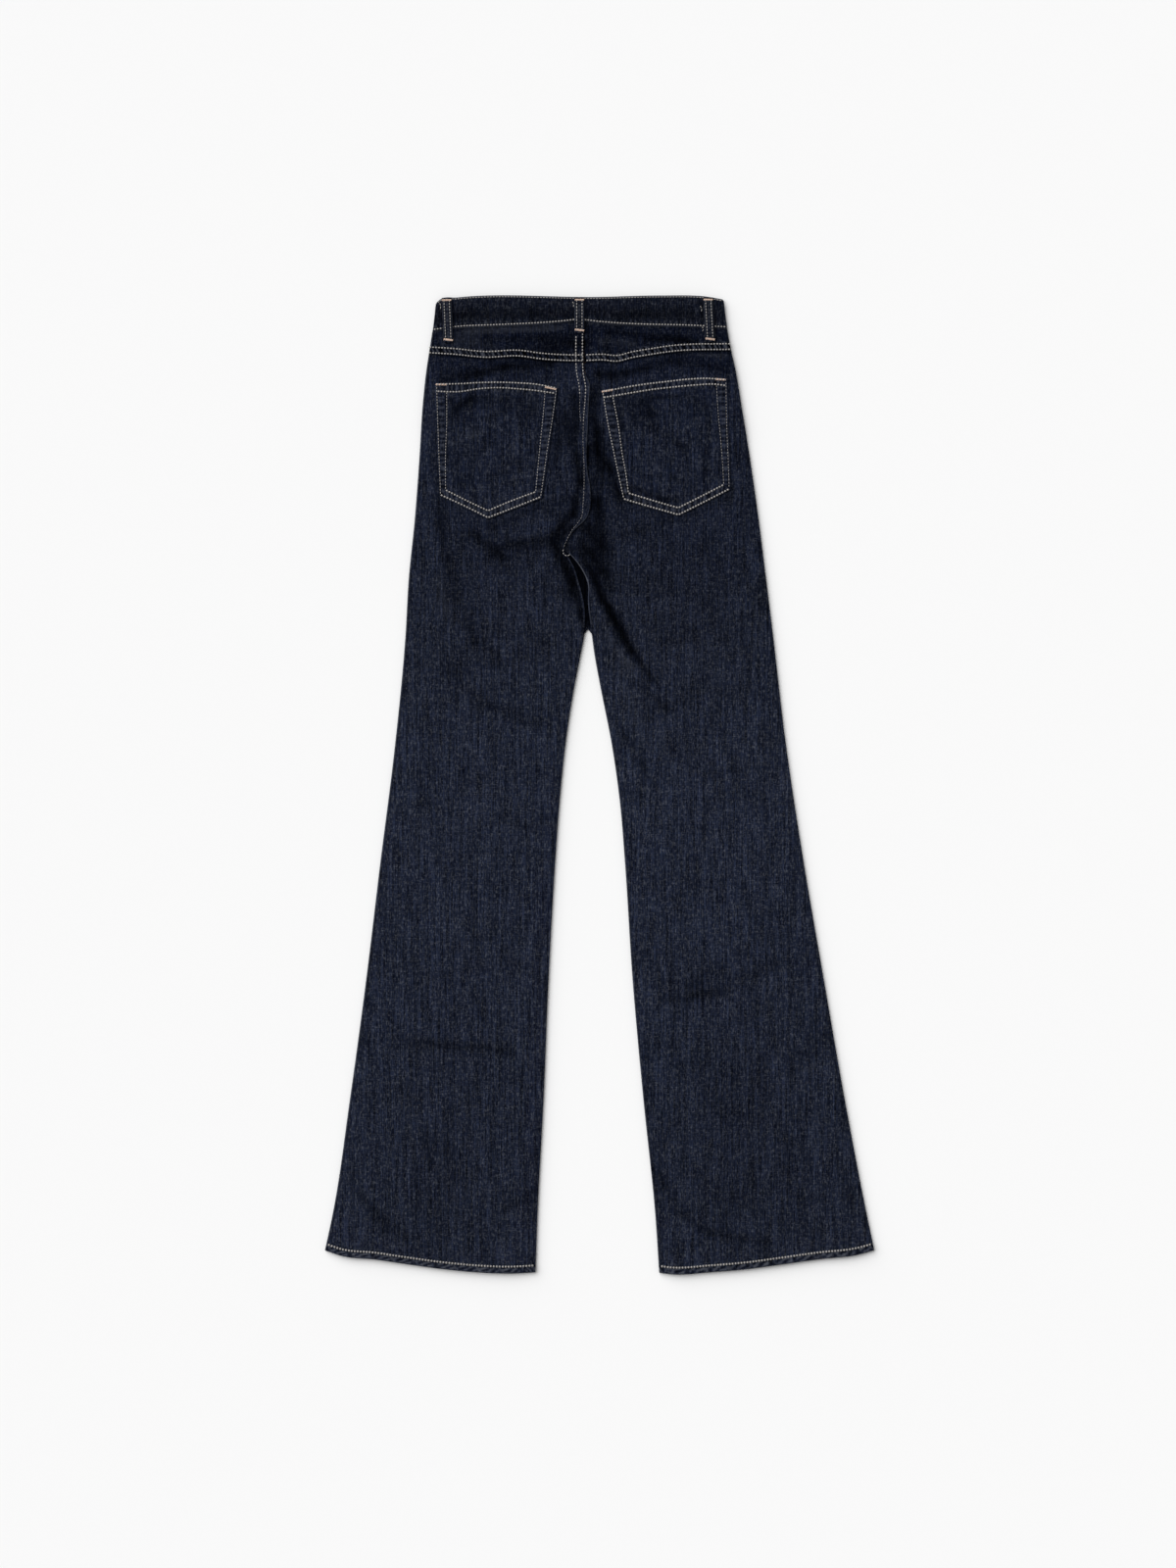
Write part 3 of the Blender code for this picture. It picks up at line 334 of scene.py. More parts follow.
def shoulder(distance: Array, width: float) -> Array:
    """Quarter-round rise from 0 at an edge to 1 at width from it."""
    return 1 - (1 - np.clip(distance / width, 0, 1)) ** 2


def bell(distance: Array, width: float) -> Array:
    """A soft bump of height 1 about 0."""
    return np.exp(-(distance / width) ** 2)


def ripple(along: Array, pitch: float, seed: float) -> Array:
    """An uneven wave between -1 and 1: a sine whose phase is pushed about by two slower ones."""
    turn = 2 * math.pi * along / pitch
    return np.sin(turn + 1.1 * np.sin(turn / 3.7 + seed) + 0.7 * np.sin(turn / 1.9 + 2.3 * seed))


def rolling(x: Array, y: Array, seed: int, waves: int = 14,
            shortest: float = 25.0, longest: float = 110.0) -> Array:
    """Slow unevenness of laid cloth: plane waves in seeded directions, summed."""
    draw = np.random.default_rng(seed)
    total = np.zeros(np.broadcast(x, y).shape)
    for length, angle, phase in zip(draw.uniform(shortest, longest, waves),
                                    draw.uniform(0, math.pi, waves),
                                    draw.uniform(0, 2 * math.pi, waves)):
        across = x * math.cos(angle) + y * math.sin(angle)
        total += length / longest * np.sin(2 * math.pi * across / length + phase)
    return total / math.sqrt(waves)


@dataclass(frozen=True)
class Drape:
    """How the back of the garment lies: heights over the floor, in millimetres."""

    cloth: float = 1.2
    gap: float = 0.3
    crotch_y: float = 263.0
    centre_x: float = -19.5
    band_wall: float = 2.0
    band_height: float = 31.0
    band_middle_y: float = 530.0
    front_dip: float = 18.0
    leg_middle: float = 3.4
    hip_middle: float = 5.0
    reach: float = 34.0
    band_reach: float = 46.0
    unevenness: float = 0.28

    @property
    def rest_edge(self) -> float:
        """Inner side of the back layer where it meets the front."""
        return self.cloth + self.gap

    def inner_edge(self, side: Side, y: Array) -> Array:
        """The seat seam above the crotch and the inseam below it, less half a gap."""
        edge = np.where(y >= self.crotch_y, line_x(SEAT_SEAM, y), edge_x(INSEAMS, side, y))
        return edge - side.inward * self.gap / 2

    def folds(self, x: Array, y: Array) -> Array:
        """All folds: each a bell across its line that fades past its two ends."""
        lift = np.zeros(np.broadcast(x, y).shape)
        for fold in FOLDS:
            across, beyond = fold.distances(x, y)
            lift += fold.lift * bell(across, fold.width) * bell(beyond, 1.3 * fold.width)
        return lift

    def shade(self, x: Array, y: Array, creases: tuple[Fold, ...] = SHADES) -> Array:
        """Painted shade of the creases, 0 to -1, and painted highlight above 0: each takes its share
        of what the others leave.
        """
        left = np.ones(np.broadcast(x, y).shape)
        for fold in creases:
            across, beyond = fold.distances(x, y)
            left *= 1 + fold.lift * bell(across, fold.width) * bell(beyond, fold.width)
        return left - 1

    def inside(self, side: Side, x: Array, y: Array) -> Array:
        """Inner side of a back panel: low at its edges, level between, with its folds.

        Args:
            side: the panel.
            x: places across.
            y: places along.

        Returns:
            Heights over the floor.
        """
        base = self.rest_edge + 1.2 * ease(y, 382.0, 404.0)
        middle = self.leg_middle + (self.hip_middle - self.leg_middle) * ease(y, 120.0, 350.0)
        outer = shoulder(np.abs(x - edge_x(OUTSEAMS, side, y)), self.reach)
        inner = shoulder(np.abs(x - self.inner_edge(side, y)), self.reach)
        inner = inner + (1 - inner) * ease(y, self.crotch_y - 10.0, self.crotch_y + 50.0)
        level = outer * inner
        uneven = self.unevenness * rolling(x, y, 7)
        return np.maximum(base + (middle - base + self.folds(x, y) + uneven) * level, base)

    def back(self, side: Side, x: Array, y: Array) -> Array:
        """Outer side of a back panel or yoke."""
        return self.inside(side, x, y) + self.cloth

    def band_inside(self, x: Array) -> Array:
        """Inner side of the back of the waistband."""
        edge = np.minimum(x - edge_x(OUTSEAMS, Side.LEFT, 530.0),
                          edge_x(OUTSEAMS, Side.RIGHT, 530.0) - x)
        low = self.band_wall + self.gap
        return low + (self.hip_middle - low) * shoulder(edge, self.band_reach)

    def band(self, x: Array, y: Array) -> Array:
        """Outer side of the back of the waistband."""
        return self.band_inside(x) + self.band_wall

    def front_foot(self, x: Array) -> Array:
        """Lower edge of the front of the waistband: a bow that dips at the centre."""
        left, right = (edge_x(OUTSEAMS, side, 510.0) for side in Side)
        across = (x - self.centre_x) / np.where(x < self.centre_x, self.centre_x - left,
                                                right - self.centre_x)
        ends = np.where(x < self.centre_x, line_y(WAIST_FOOT, left), line_y(WAIST_FOOT, right))
        return ends - self.front_dip * (1 - np.clip(across ** 2, 0, 1))


def socket_colour(code: str) -> tuple[float, float, float, float]:
    """A linear colour from an sRGB hex value."""
    parts = [int(code[place:place + 2], 16) / 255 for place in (1, 3, 5)]
    linear = [part / 12.92 if part <= 0.04045 else ((part + 0.055) / 1.055) ** 2.4
              for part in parts]
    return (*linear, 1.0)


def add_node(tree: bpy.types.NodeTree, kind: str, inputs: dict | None = None,
             **settings: object) -> bpy.types.Node:
    """Add a node, set its settings, and set or link its inputs.

    Args:
        tree: the node tree.
        kind: the node's type.
        inputs: a value or a socket for each named or numbered input.
        settings: the node's own properties.

    Returns:
        The node.
    """
    made = tree.nodes.new(kind)
    for key, value in settings.items():
        setattr(made, key, value)
    for key, value in (inputs or {}).items():
        if isinstance(value, bpy.types.NodeSocket):
            tree.links.new(value, made.inputs[key])
        else:
            made.inputs[key].default_value = value
    return made


def empty_material(name: str) -> tuple[bpy.types.Material, bpy.types.NodeTree, bpy.types.Node]:
    """A node material with only its output."""
    material = bpy.data.materials.new(name)
    material.use_nodes = True
    tree = material.node_tree
    tree.nodes.clear()
    return material, tree, add_node(tree, "ShaderNodeOutputMaterial")


@dataclass(frozen=True)
class Grain:
    """Soft noise in the cloth: the size of its grain in mm, and the tones that it gives."""

    across: float
    along: float
    detail: float
    shift: float
    read: tuple[float, float] = (0.3, 0.7)
    give: tuple[float, float] = (0.0, 1.0)
    roughness: float = 0.6
    depth: float = 4.0

    def draw(self, tree: bpy.types.NodeTree, place: bpy.types.NodeSocket) -> bpy.types.NodeSocket:
        """Noise on places divided by the grain's size, its usual range spread to the tones."""
        scaled = add_node(tree, "ShaderNodeMapping", {
            "Vector": place, "Location": (self.shift, self.shift, self.shift),
            "Scale": (PER_MM / self.across, PER_MM / self.along,
                      PER_MM / (self.depth * self.across))})
        noise = add_node(tree, "ShaderNodeTexNoise", {
            "Vector": scaled.outputs["Vector"], "Scale": 1.0, "Detail": self.detail,
            "Roughness": self.roughness})
        return add_node(tree, "ShaderNodeMapRange", {
            "Value": noise.outputs["Fac"], "From Min": self.read[0], "From Max": self.read[1],
            "To Min": self.give[0], "To Max": self.give[1]}).outputs["Result"]


class LengthTone(NamedTuple):
    """Tone of the cloth at a share of its length from the hem, and how far it leans to blue."""

    share: float
    tone: float
    blue: float = 0.0


# A Wave Texture of scale 1 repeats every pi / 10 of its coordinates
WAVE_REPEAT = math.pi / 10
WHITE = "#ffffff"


@dataclass(frozen=True)
class RinsedDenim:
    """Rinsed raw denim, a cotton warp-faced twill.

    Indigo warp with pale core fibres gives dark blue-black cloth with upright slub streaks and a
    grey-blue heather; the surface is matt with a faint fuzz. The twill is drawn at twice the real
    pitch, because the real one is too fine to show.
    """

    name: str = "rinsed indigo denim twill"
    dark: str = "#070a16"
    body: str = "#212738"
    heather: str = "#575a62"
    # Tint that painted shade darkens the cloth towards
    deepest: str = "#2a3241"
    fuzz: str = "#8b93a8"
    slub: Grain = Grain(1.5, 34.0, 2.0, 0.0, (0.32, 0.7))
    yarn: Grain = Grain(0.95, 7.0, 2.0, 13.0, (0.3, 0.72))
    fleck: Grain = Grain(1.4, 4.48, 1.0, 31.0, (0.53, 0.78), (0.0, 0.45))
    weft: Grain = Grain(3.92, 1.4, 1.0, 59.0, (0.55, 0.85), (0.0, 0.36))
    cloud: Grain = Grain(14.0, 30.0, 2.0, 47.0, give=(0.8, 1.18))
    streak: Grain = Grain(1.7, 60.0, 1.0, 71.0, give=(0.6, 1.41))
    cross: Grain = Grain(24.0, 1.5, 1.0, 83.0, give=(0.8, 1.18))
    warp_range: tuple[float, float] = (0.35, 1.55)
    # Tone at shares of the length from the hem, darker towards the waist and darkest across the yoke
    wash: tuple[LengthTone, ...] = tuple(LengthTone(*row) for row in (
        (0.0, 0.9), (0.18, 0.9), (0.36, 0.98), (0.52, 1.0), (0.66, 0.8), (0.76, 0.73, 0.05),
        (0.9, 0.7, 0.08), (0.928, 0.5, 0.2), (0.94, 0.27, 0.34), (0.966, 0.28, 0.34),
        (0.975, 0.5), (1.0, 0.53)))
    wash_reach: float = 550.0
    blue_lean: tuple[float, float, float] = (0.0, 0.4, 1.4)
    fleck_wash: float = 0.68
    twill_pitch: float = 0.95
    twill_angle: float = 62.0
    twill_wander: float = 1.2
    relief: float = 0.12
    relief_strength: float = 0.55
    roughness: float = 0.95
    specular: float = 0.02
    sheen: float = 0.003
    sheen_roughness: float = 0.6

    def washed(self, tree: bpy.types.NodeTree, place: bpy.types.NodeSocket) -> bpy.types.NodeSocket:
        """Tone up the garment, darker towards the waist and darkest across the yoke: a ramp along y.
        """
        y = add_node(tree, "ShaderNodeSeparateXYZ", {"Vector": place}).outputs["Y"]
        reach = self.wash_reach * MM
        share = add_node(tree, "ShaderNodeMapRange", {
            "Value": y, "From Min": -reach, "From Max": reach}).outputs["Result"]
        wash = add_node(tree, "ShaderNodeValToRGB", {"Fac": share})
        stops = wash.color_ramp.elements
        while len(stops) < len(self.wash):
            stops.new(0.5)
        for stop, at in zip(stops, self.wash):
            stop.position = at.share
            stop.color = (*(at.tone * (1 + lean * at.blue) for lean in self.blue_lean), 1.0)
        return wash.outputs["Color"]

    def twill(self, tree: bpy.types.NodeTree, place: bpy.types.NodeSocket,
              warp: bpy.types.NodeSocket) -> bpy.types.NodeSocket:
        """Relief of the weave: slanting wales plus the warp's own unevenness."""
        turned = add_node(tree, "ShaderNodeMapping", {
            "Vector": place, "Rotation": (0.0, 0.0, math.radians(self.twill_angle)),
            "Scale": (PER_MM, PER_MM, PER_MM)})
        wale = add_node(tree, "ShaderNodeTexWave", {
            "Vector": turned.outputs["Vector"], "Scale": WAVE_REPEAT / self.twill_pitch,
            "Distortion": self.twill_wander, "Detail": 1.0}).outputs["Fac"]
        height = add_node(tree, "ShaderNodeMath", {0: wale, 1: warp}, operation="ADD").outputs[0]
        return add_node(tree, "ShaderNodeBump", {
            "Height": height, "Strength": self.relief_strength,
            "Distance": self.relief * MM}).outputs["Normal"]

    def build(self) -> bpy.types.Material:
        """Make the material.

        Warp from dark to body by slub and yarn, under the tone along the length, clouds and streaks,
        with flecks of heather; then painted shade where the rub attribute is below 0, and heather,
        for wear and painted highlight, where it is above.

        Returns:
            The material.
        """
        material, tree, output = empty_material(self.name)
        place = add_node(tree, "ShaderNodeTexCoord").outputs["Object"]
        part = {name: getattr(self, name).draw(tree, place)
                for name in ("slub", "yarn", "fleck", "weft", "cloud", "streak", "cross")}
        for name, one, other, operation in (
                ("warp", "slub", "yarn", "ADD"), ("flecks", "fleck", "weft", "ADD"),
                ("lines", "streak", "cross", "MULTIPLY"), ("light", "cloud", "lines", "MULTIPLY")):
            part[name] = add_node(tree, "ShaderNodeMath", {0: part[one], 1: part[other]},
                                  operation=operation).outputs[0]
        # The rub attribute: painted shade below 0, wear and painted highlight above 0
        wear_and_shade = add_node(tree, "ShaderNodeAttribute", attribute_name="wear_and_shade").outputs["Fac"]
        for name, value, low, high in (("warp_share", part["warp"], *self.warp_range),
                                       ("level", wear_and_shade, -1.0, 0.0), ("wear_and_highlight", wear_and_shade, 0.0, 1.0)):
            part[name] = add_node(tree, "ShaderNodeMapRange", {
                "Value": value, "From Min": low, "From Max": high}).outputs["Result"]
        light = add_node(tree, "ShaderNodeCombineColor",
                         {axis: part["light"] for axis in range(3)}).outputs[0]
        heather = socket_colour(self.heather)
        part["heather"], part["dark"], part["deepest"], part["wash"] = (
            heather, socket_colour(self.dark), socket_colour(self.deepest),
            self.washed(tree, place))
        for name, kind, share, one, other in (
                ("tone", "MULTIPLY", 1.0, part["wash"], light),
                ("colour", "MIX", part["warp_share"], part["dark"], socket_colour(self.body)),
                ("colour", "MULTIPLY", 1.0, "colour", "tone"),
                ("pale", "MULTIPLY", self.fleck_wash, heather, "tone"),
                ("colour", "MIX", part["flecks"], "colour", "pale"),
                # Painted shade: the colour multiplied towards the shade tint where rub is below 0
                ("deep", "MIX", part["level"], part["deepest"], socket_colour(WHITE)),
                ("colour", "MULTIPLY", 1.0, "colour", "deep"),
                # Wear and painted highlight: heather where rub is above 0
                ("colour", "MIX", part["wear_and_highlight"], "colour", "heather")):
            one, other = (part[end] if isinstance(end, str) else end for end in (one, other))
            part[name] = add_node(tree, "ShaderNodeMix", {0: share, 6: one, 7: other},
                                  data_type="RGBA", blend_type=kind).outputs[2]
        shader = add_node(tree, "ShaderNodeBsdfPrincipled", {
            "Base Color": part["colour"], "Roughness": self.roughness,
            "Specular IOR Level": self.specular, "Sheen Weight": self.sheen,
            "Sheen Roughness": self.sheen_roughness, "Sheen Tint": socket_colour(self.fuzz),
            "Normal": self.twill(tree, place, part["warp"])})
        tree.links.new(shader.outputs["BSDF"], output.inputs["Surface"])
        return material


@dataclass(frozen=True)
class Mottle:
    """Two colours of one material, blended by soft noise of a size in mm."""

    light: str
    deep: str
    size: float
    detail: float

    def draw(self, tree: bpy.types.NodeTree, place: bpy.types.NodeSocket) -> tuple:
        """The noise and the colour that it gives."""
        noise = add_node(tree, "ShaderNodeTexNoise", {
            "Vector": place, "Scale": 1 / (self.size * MM), "Detail": self.detail}).outputs["Fac"]
        return noise, add_node(tree, "ShaderNodeMix", {
            0: noise, 6: socket_colour(self.light), 7: socket_colour(self.deep)},
            data_type="RGBA").outputs[2]


@dataclass(frozen=True)
class SpunYarn:
    """Spun thread, sewn or woven into tape.

    Two plies laid round each other give a fine slanting relief; the thread is matt and a little
    uneven in tone.
    """

    name: str
    light: str
    deep: str
    mottle: float = 2.5
    ply: float = 0.55
    relief: float = 0.08
    relief_strength: float = 0.5
    roughness: float = 0.75
    specular: float = 0.25

    def build(self) -> bpy.types.Material:
        """Make the material."""
        material, tree, output = empty_material(self.name)
        place = add_node(tree, "ShaderNodeTexCoord").outputs["Object"]
        _, colour = Mottle(self.light, self.deep, self.mottle, 2.0).draw(tree, place)
        twist = add_node(tree, "ShaderNodeTexWave", {
            "Vector": place, "Scale": WAVE_REPEAT / (self.ply * MM)},
            bands_direction="DIAGONAL").outputs["Fac"]
        normal = add_node(tree, "ShaderNodeBump", {
            "Height": twist, "Strength": self.relief_strength, "Distance": self.relief * MM})
        shader = add_node(tree, "ShaderNodeBsdfPrincipled", {
            "Base Color": colour, "Roughness": self.roughness,
            "Specular IOR Level": self.specular, "Normal": normal.outputs["Normal"]})
        tree.links.new(shader.outputs["BSDF"], output.inputs["Surface"])
        return material


@dataclass(frozen=True)
class AgedBrass:
    """Pressed brass, tumbled and lacquered dull.

    It shows as warm metal of uneven gloss with darker stains.
    """

    name: str = "aged pressed brass"
    bright: str = "#b28a52"
    dull: str = "#6e5330"
    stain: float = 3.0
    roughness: tuple[float, float] = (0.3, 0.5)

    def build(self) -> bpy.types.Material:
        """Make the material."""
        material, tree, output = empty_material(self.name)
        place = add_node(tree, "ShaderNodeTexCoord").outputs["Object"]
        stain, colour = Mottle(self.bright, self.dull, self.stain, 4.0).draw(tree, place)
        rough = add_node(tree, "ShaderNodeMapRange", {
            "Value": stain, "To Min": self.roughness[0],
            "To Max": self.roughness[1]}).outputs["Result"]
        shader = add_node(tree, "ShaderNodeBsdfPrincipled", {
            "Base Color": colour, "Metallic": 1.0, "Roughness": rough})
        tree.links.new(shader.outputs["BSDF"], output.inputs["Surface"])
        return material


def grid_quads(rows: int, columns: int, start: int = 0) -> Array:
    """Corner numbers of a grid's quads, facing up where rows run +Y and columns +X."""
    corner = (np.arange(rows - 1)[:, None] * columns + np.arange(columns - 1)[None, :]).ravel()
    return start + np.stack((corner, corner + 1, corner + columns + 1, corner + columns), axis=1)


def mesh_piece(name: str, points: Array, faces: list, materials: list[bpy.types.Material],
               wear_and_shade: Array | None = None,
               choice: Array | None = None) -> bpy.types.Object:
    """A smooth-shaded object at the origin that rides on the root.

    Args:
        name: the piece's name.
        points: its points, in millimetres.
        faces: its faces.
        materials: its finishes.
        wear_and_shade: above 0 where the colour is paled by wear and painted highlight, below where
            painted shade darkens it.
        choice: the number of each face's finish.

    Returns:
        The object.
    """
    mesh = bpy.data.meshes.new(name)
    mesh.from_pydata((points.reshape(-1, 3) * MM).tolist(), [], faces)
    mesh.shade_smooth()
    if wear_and_shade is not None:
        layer = mesh.attributes.new("wear_and_shade", "FLOAT", "POINT")
        layer.data.foreach_set("value", np.clip(wear_and_shade, -1, 1).astype(np.float32).ravel())
    for material in materials:
        mesh.materials.append(material)
    if choice is not None:
        mesh.polygons.foreach_set("material_index", choice.astype(np.int32))
    piece = bpy.data.objects.new(name, mesh)
    bpy.context.scene.collection.objects.link(piece)
    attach(piece, "root")
    LOG.info("%s: %d points", name, len(mesh.vertices))
    return piece


def stacked(x: Array, y: Array, z: Array) -> Array:
    """One array of points from three that broadcast."""
    return np.stack(np.broadcast_arrays(x, y, z), axis=-1).astype(float)


def shell(name: str, low: Array, high: Array, material: bpy.types.Material,
          wear_and_shade: Array | None = None, low_wear_and_shade: Array | None = None) -> bpy.types.Object:
    """A closed cloth wall between two grids of points, joined round the rim.

    Args:
        name: the piece's name.
        low: rows and columns of points of its inner side.
        high: the same of its outer side; its faces look up where rows run +Y and columns +X.
        material: its finish.
        wear_and_shade: above 0 where an outer point is paled by wear and painted highlight, below
            where painted shade darkens it.
        low_wear_and_shade: the same for the inner side where it differs.

    Returns:
        The object.
    """
    rows, columns = low.shape[:2]
    count = rows * columns
    order = np.arange(count).reshape(rows, columns)
    rim = np.concatenate((order[0, :-1], order[:-1, -1], order[-1, :0:-1], order[:0:-1, 0]))
    ahead = np.roll(rim, -1)
    walls = np.stack((rim, ahead, ahead + count, rim + count), axis=1)
    faces = np.concatenate((grid_quads(rows, columns)[:, ::-1], grid_quads(rows, columns, count),
                            walls))
    # Per point, both sides: wear and painted highlight above 0, painted shade below 0
    under = wear_and_shade if low_wear_and_shade is None else low_wear_and_shade
    pale = None if wear_and_shade is None else np.concatenate((under.ravel(), wear_and_shade.ravel()))
    return mesh_piece(name, np.concatenate((low.reshape(-1, 3), high.reshape(-1, 3))),
                      faces.tolist(), [material], pale)


# The least share of width by length that a cut's area is given as
LEAST_AREA = 0.31


def declare(piece: bpy.types.Object, grid: Array,
            with_pieces: list[bpy.types.Object],
            flat: tuple[float, float] | None = None) -> None:
    """State a piece's cut: its extent and its area, read from its grid of points.

    Args:
        piece: the cloth.
        grid: rows and columns of its points, in millimetres.
        with_pieces: the stitching on it; not used.
        flat: its width and length where it is bent, in millimetres.
    """
    width, length = flat or (float(np.ptp(grid[..., 0])), float(np.ptp(grid[..., 1])))
    crossed = np.cross(grid[1:, 1:] - grid[:-1, :-1], grid[1:, :-1] - grid[:-1, 1:])
    area = float(np.linalg.norm(crossed, axis=-1).sum() / 2)
    area = min(max(area, LEAST_AREA * width * length), width * length)
    LOG.info("%s: cut %.0f x %.0f mm, %.0f cm2", piece.name, width, length, area / 100)


def run_through(points: tuple[Point, ...], step: float = 0.5) -> Array:
    """A smooth run through points, read every step along its chords."""
    table = np.array(points, float)
    chord = np.concatenate(([0], np.cumsum(np.hypot(*np.diff(table, axis=0).T))))
    at = np.linspace(0, chord[-1], max(int(chord[-1] / step), 2) + 1)
    return np.stack([through(chord, table[:, axis], at) for axis in (0, 1)], axis=1)


def distance_to(run: tuple[Point, ...], x: Array, y: Array) -> Array:
    """Distance from places to the nearest straight piece of a run."""
    nearest = np.full(np.broadcast(x, y).shape, np.inf)
    for start, end in zip(run[:-1], run[1:]):
        run_x, run_y = end.x - start.x, end.y - start.y
        share = ((x - start.x) * run_x + (y - start.y) * run_y) / (run_x ** 2 + run_y ** 2)
        share = np.clip(share, 0, 1)
        nearest = np.minimum(nearest, np.hypot(x - start.x - share * run_x,
                                               y - start.y - share * run_y))
    return nearest


class Thread(Enum):
    """The two threads, numbered as their materials are."""

    TOPSTITCH = 0
    TACK = 1


@dataclass
class StitchSet:
    """Rows of topstitches and bar tacks that become one mesh of short thread humps.

    Each stitch is a tube of six sides over seven rings that rises out of the cloth, lies on it
    and dives back in.
    """

    name: str
    threads: list[bpy.types.Material]
    radius: float = 0.5
    pitch: float = 3.3
    covered: float = 0.84
    sides: int = 6
    rings: int = 7
    fullness: float = 0.6
    thin_end: float = 0.55
    stand: float = 1.5
    sink: float = 0.95
    squash: float = 0.85
    tack_radius: float = 0.4
    tack_pitch: float = 0.6
    tack_slant: float = 0.5
    tack_uneven: float = 0.14
    tack_beat: float = 3.1
    batches: list = field(default_factory=list)

    def row(self, path: Array, surface: Surface, flip: int = 1, weight: float = 1.0) -> None:
        """Add a row of stitches along a run.

        Args:
            path: points along the run, close together.
            surface: height of the cloth at places.
            flip: 1 on an upper side, -1 on an underside.
            weight: how thick the thread shows, 1 for the usual.
        """
        along = np.concatenate(([0], np.cumsum(np.hypot(*np.diff(path, axis=0).T))))
        count = max(int(along[-1] / self.pitch), 1)
        pitch = along[-1] / count
        begin = (np.arange(count) + (1 - self.covered) / 2) * pitch
        span = np.linspace(0, self.covered * pitch, self.rings)
        at = begin[:, None] + span[None, :]
        places = np.stack([np.interp(at, along, path[:, axis]) for axis in (0, 1)], axis=-1)
        self._add(places, surface, flip, self.radius * weight, Thread.TOPSTITCH)

    def tack(self, start: Point, end: Point, surface: Surface, width: float = 2.3,
             flip: int = 1) -> None:
        """Add a bar tack: close thread laid across a short bar.

        Args:
            start: one end of the bar.
            end: the other end.
            surface: height of the cloth at places.
            width: the bar's width.
            flip: 1 on an upper side, -1 on an underside.
        """
        start, end = np.array(start, float), np.array(end, float)
        length = float(np.hypot(*(end - start)))
        run = (end - start) / length
        across = np.array([-run[1], run[0]])
        order = np.arange(max(int(length / self.tack_pitch), 3), dtype=float)
        middle = start + run * (order[:, None] + 0.5) / len(order) * length
        uneven = 1 + self.tack_uneven * ripple(order, self.tack_beat, float(start[0]))
        sweep = np.linspace(-0.5, 0.5, self.rings)[None, :, None]
        places = (middle[:, None] + across * sweep * width * uneven[:, None, None]
                  + run * sweep * self.tack_slant)
        self._add(places, surface, flip, self.tack_radius, Thread.TACK)

    def _add(self, places: Array, surface: Surface, flip: int, radius: float,
             thread: Thread) -> None:
        """Keep a batch of stitches as points, with their thread: tubes about a hump."""
        height = surface(places[..., 0], places[..., 1])
        share = np.linspace(0, 1, self.rings)[None, :]
        hump = np.sin(math.pi * share) ** self.fullness
        thick = radius * (self.thin_end + (1 - self.thin_end) * hump)[..., None]
        middle_z = height + flip * radius * (self.stand * hump - self.sink)
        run = np.gradient(places, axis=1)
        run /= np.maximum(np.hypot(run[..., 0], run[..., 1])[..., None], 1e-9)
        turn = np.arange(self.sides) * 2 * math.pi / self.sides
        aside = thick * np.cos(turn)
        x = places[..., 0, None] - run[..., 1, None] * aside
        y = places[..., 1, None] + run[..., 0, None] * aside
        z = middle_z[..., None] + thick * np.sin(turn) * self.squash
        self.batches.append((np.stack((x, y, z), axis=-1), thread))

    def build(self) -> bpy.types.Object:
        """Make the mesh of every stitch kept so far."""
        points = np.concatenate([batch for batch, _ in self.batches])
        threads = np.concatenate([np.full(len(batch), thread.value)
                                  for batch, thread in self.batches])
        rings, sides = self.rings, self.sides
        ring = np.arange(rings - 1)[:, None] * sides
        side = np.arange(sides)[None, :]
        beside = (side + 1) % sides
        quads = np.stack((ring + side, ring + beside, ring + sides + beside, ring + sides + side),
                         axis=-1).reshape(-1, 4)
        first = np.arange(len(points))[:, None] * rings * sides
        faces = (first[..., None] + quads[None]).reshape(-1, 4).tolist()
        caps = np.concatenate((first + np.arange(sides)[None, ::-1],
                               first + (rings - 1) * sides + np.arange(sides)[None, :])).tolist()
        choice = np.concatenate((np.repeat(threads, len(quads)), threads, threads))
        return mesh_piece(self.name, points.reshape(-1, 3), faces + caps, self.threads,
                          choice=choice)


@dataclass
class Kit:
    """The drape and the finishes that every sub-assembly shares."""

    drape: Drape
    denim: bpy.types.Material
    threads: list[bpy.types.Material]
    brass: bpy.types.Material


@dataclass(frozen=True)
class FelledEdge:
    """A lapped or turned edge: thicker cloth, grooves under its stitch rows, puckers between."""

    rise: float = 0.8
    width: float = 8.9
    rows: tuple[float, ...] = (1.7, 8.0)
    groove: float = 0.34
    pucker: float = 0.32
    pitch: float = 5.6
    slant: float = 0.5
    seed: float = 1.0
    pale: float = 0.2

    def wave(self, distance: Array, along: Array) -> Array:
        """The puckers: an uneven wave along the edge, strongest between the stitch rows."""
        window = ease(distance, 0.4, 1.8) * (1 - ease(distance, self.width - 0.8, self.width + 3))
        return ripple(along + self.slant * distance, self.pitch, self.seed) * window

    def lift(self, distance: Array, along: Array) -> Array:
        """Added height: a plateau rounded at the edge, less the grooves, plus the puckers."""
        plateau = shoulder(distance, 0.9) * (1 - ease(distance, self.width - 0.3, self.width + 1))
        grooves = sum(bell(distance - row, 0.75) for row in self.rows)
        return (self.rise * plateau - self.groove * grooves
                + self.pucker * self.wave(distance, along))

    def wear_and_shade(self, distance: Array, along: Array) -> Array:
        """Tone: pale on the puckers' tops, painted shade in their hollows and in the grooves under
        the stitch rows.
        """
        grooves = sum(bell(distance - row, 0.9) for row in self.rows)
        wave = self.wave(distance, along)
        return self.pale * np.maximum(wave, 0) + 0.9 * np.minimum(wave, 0) - 0.45 * grooves


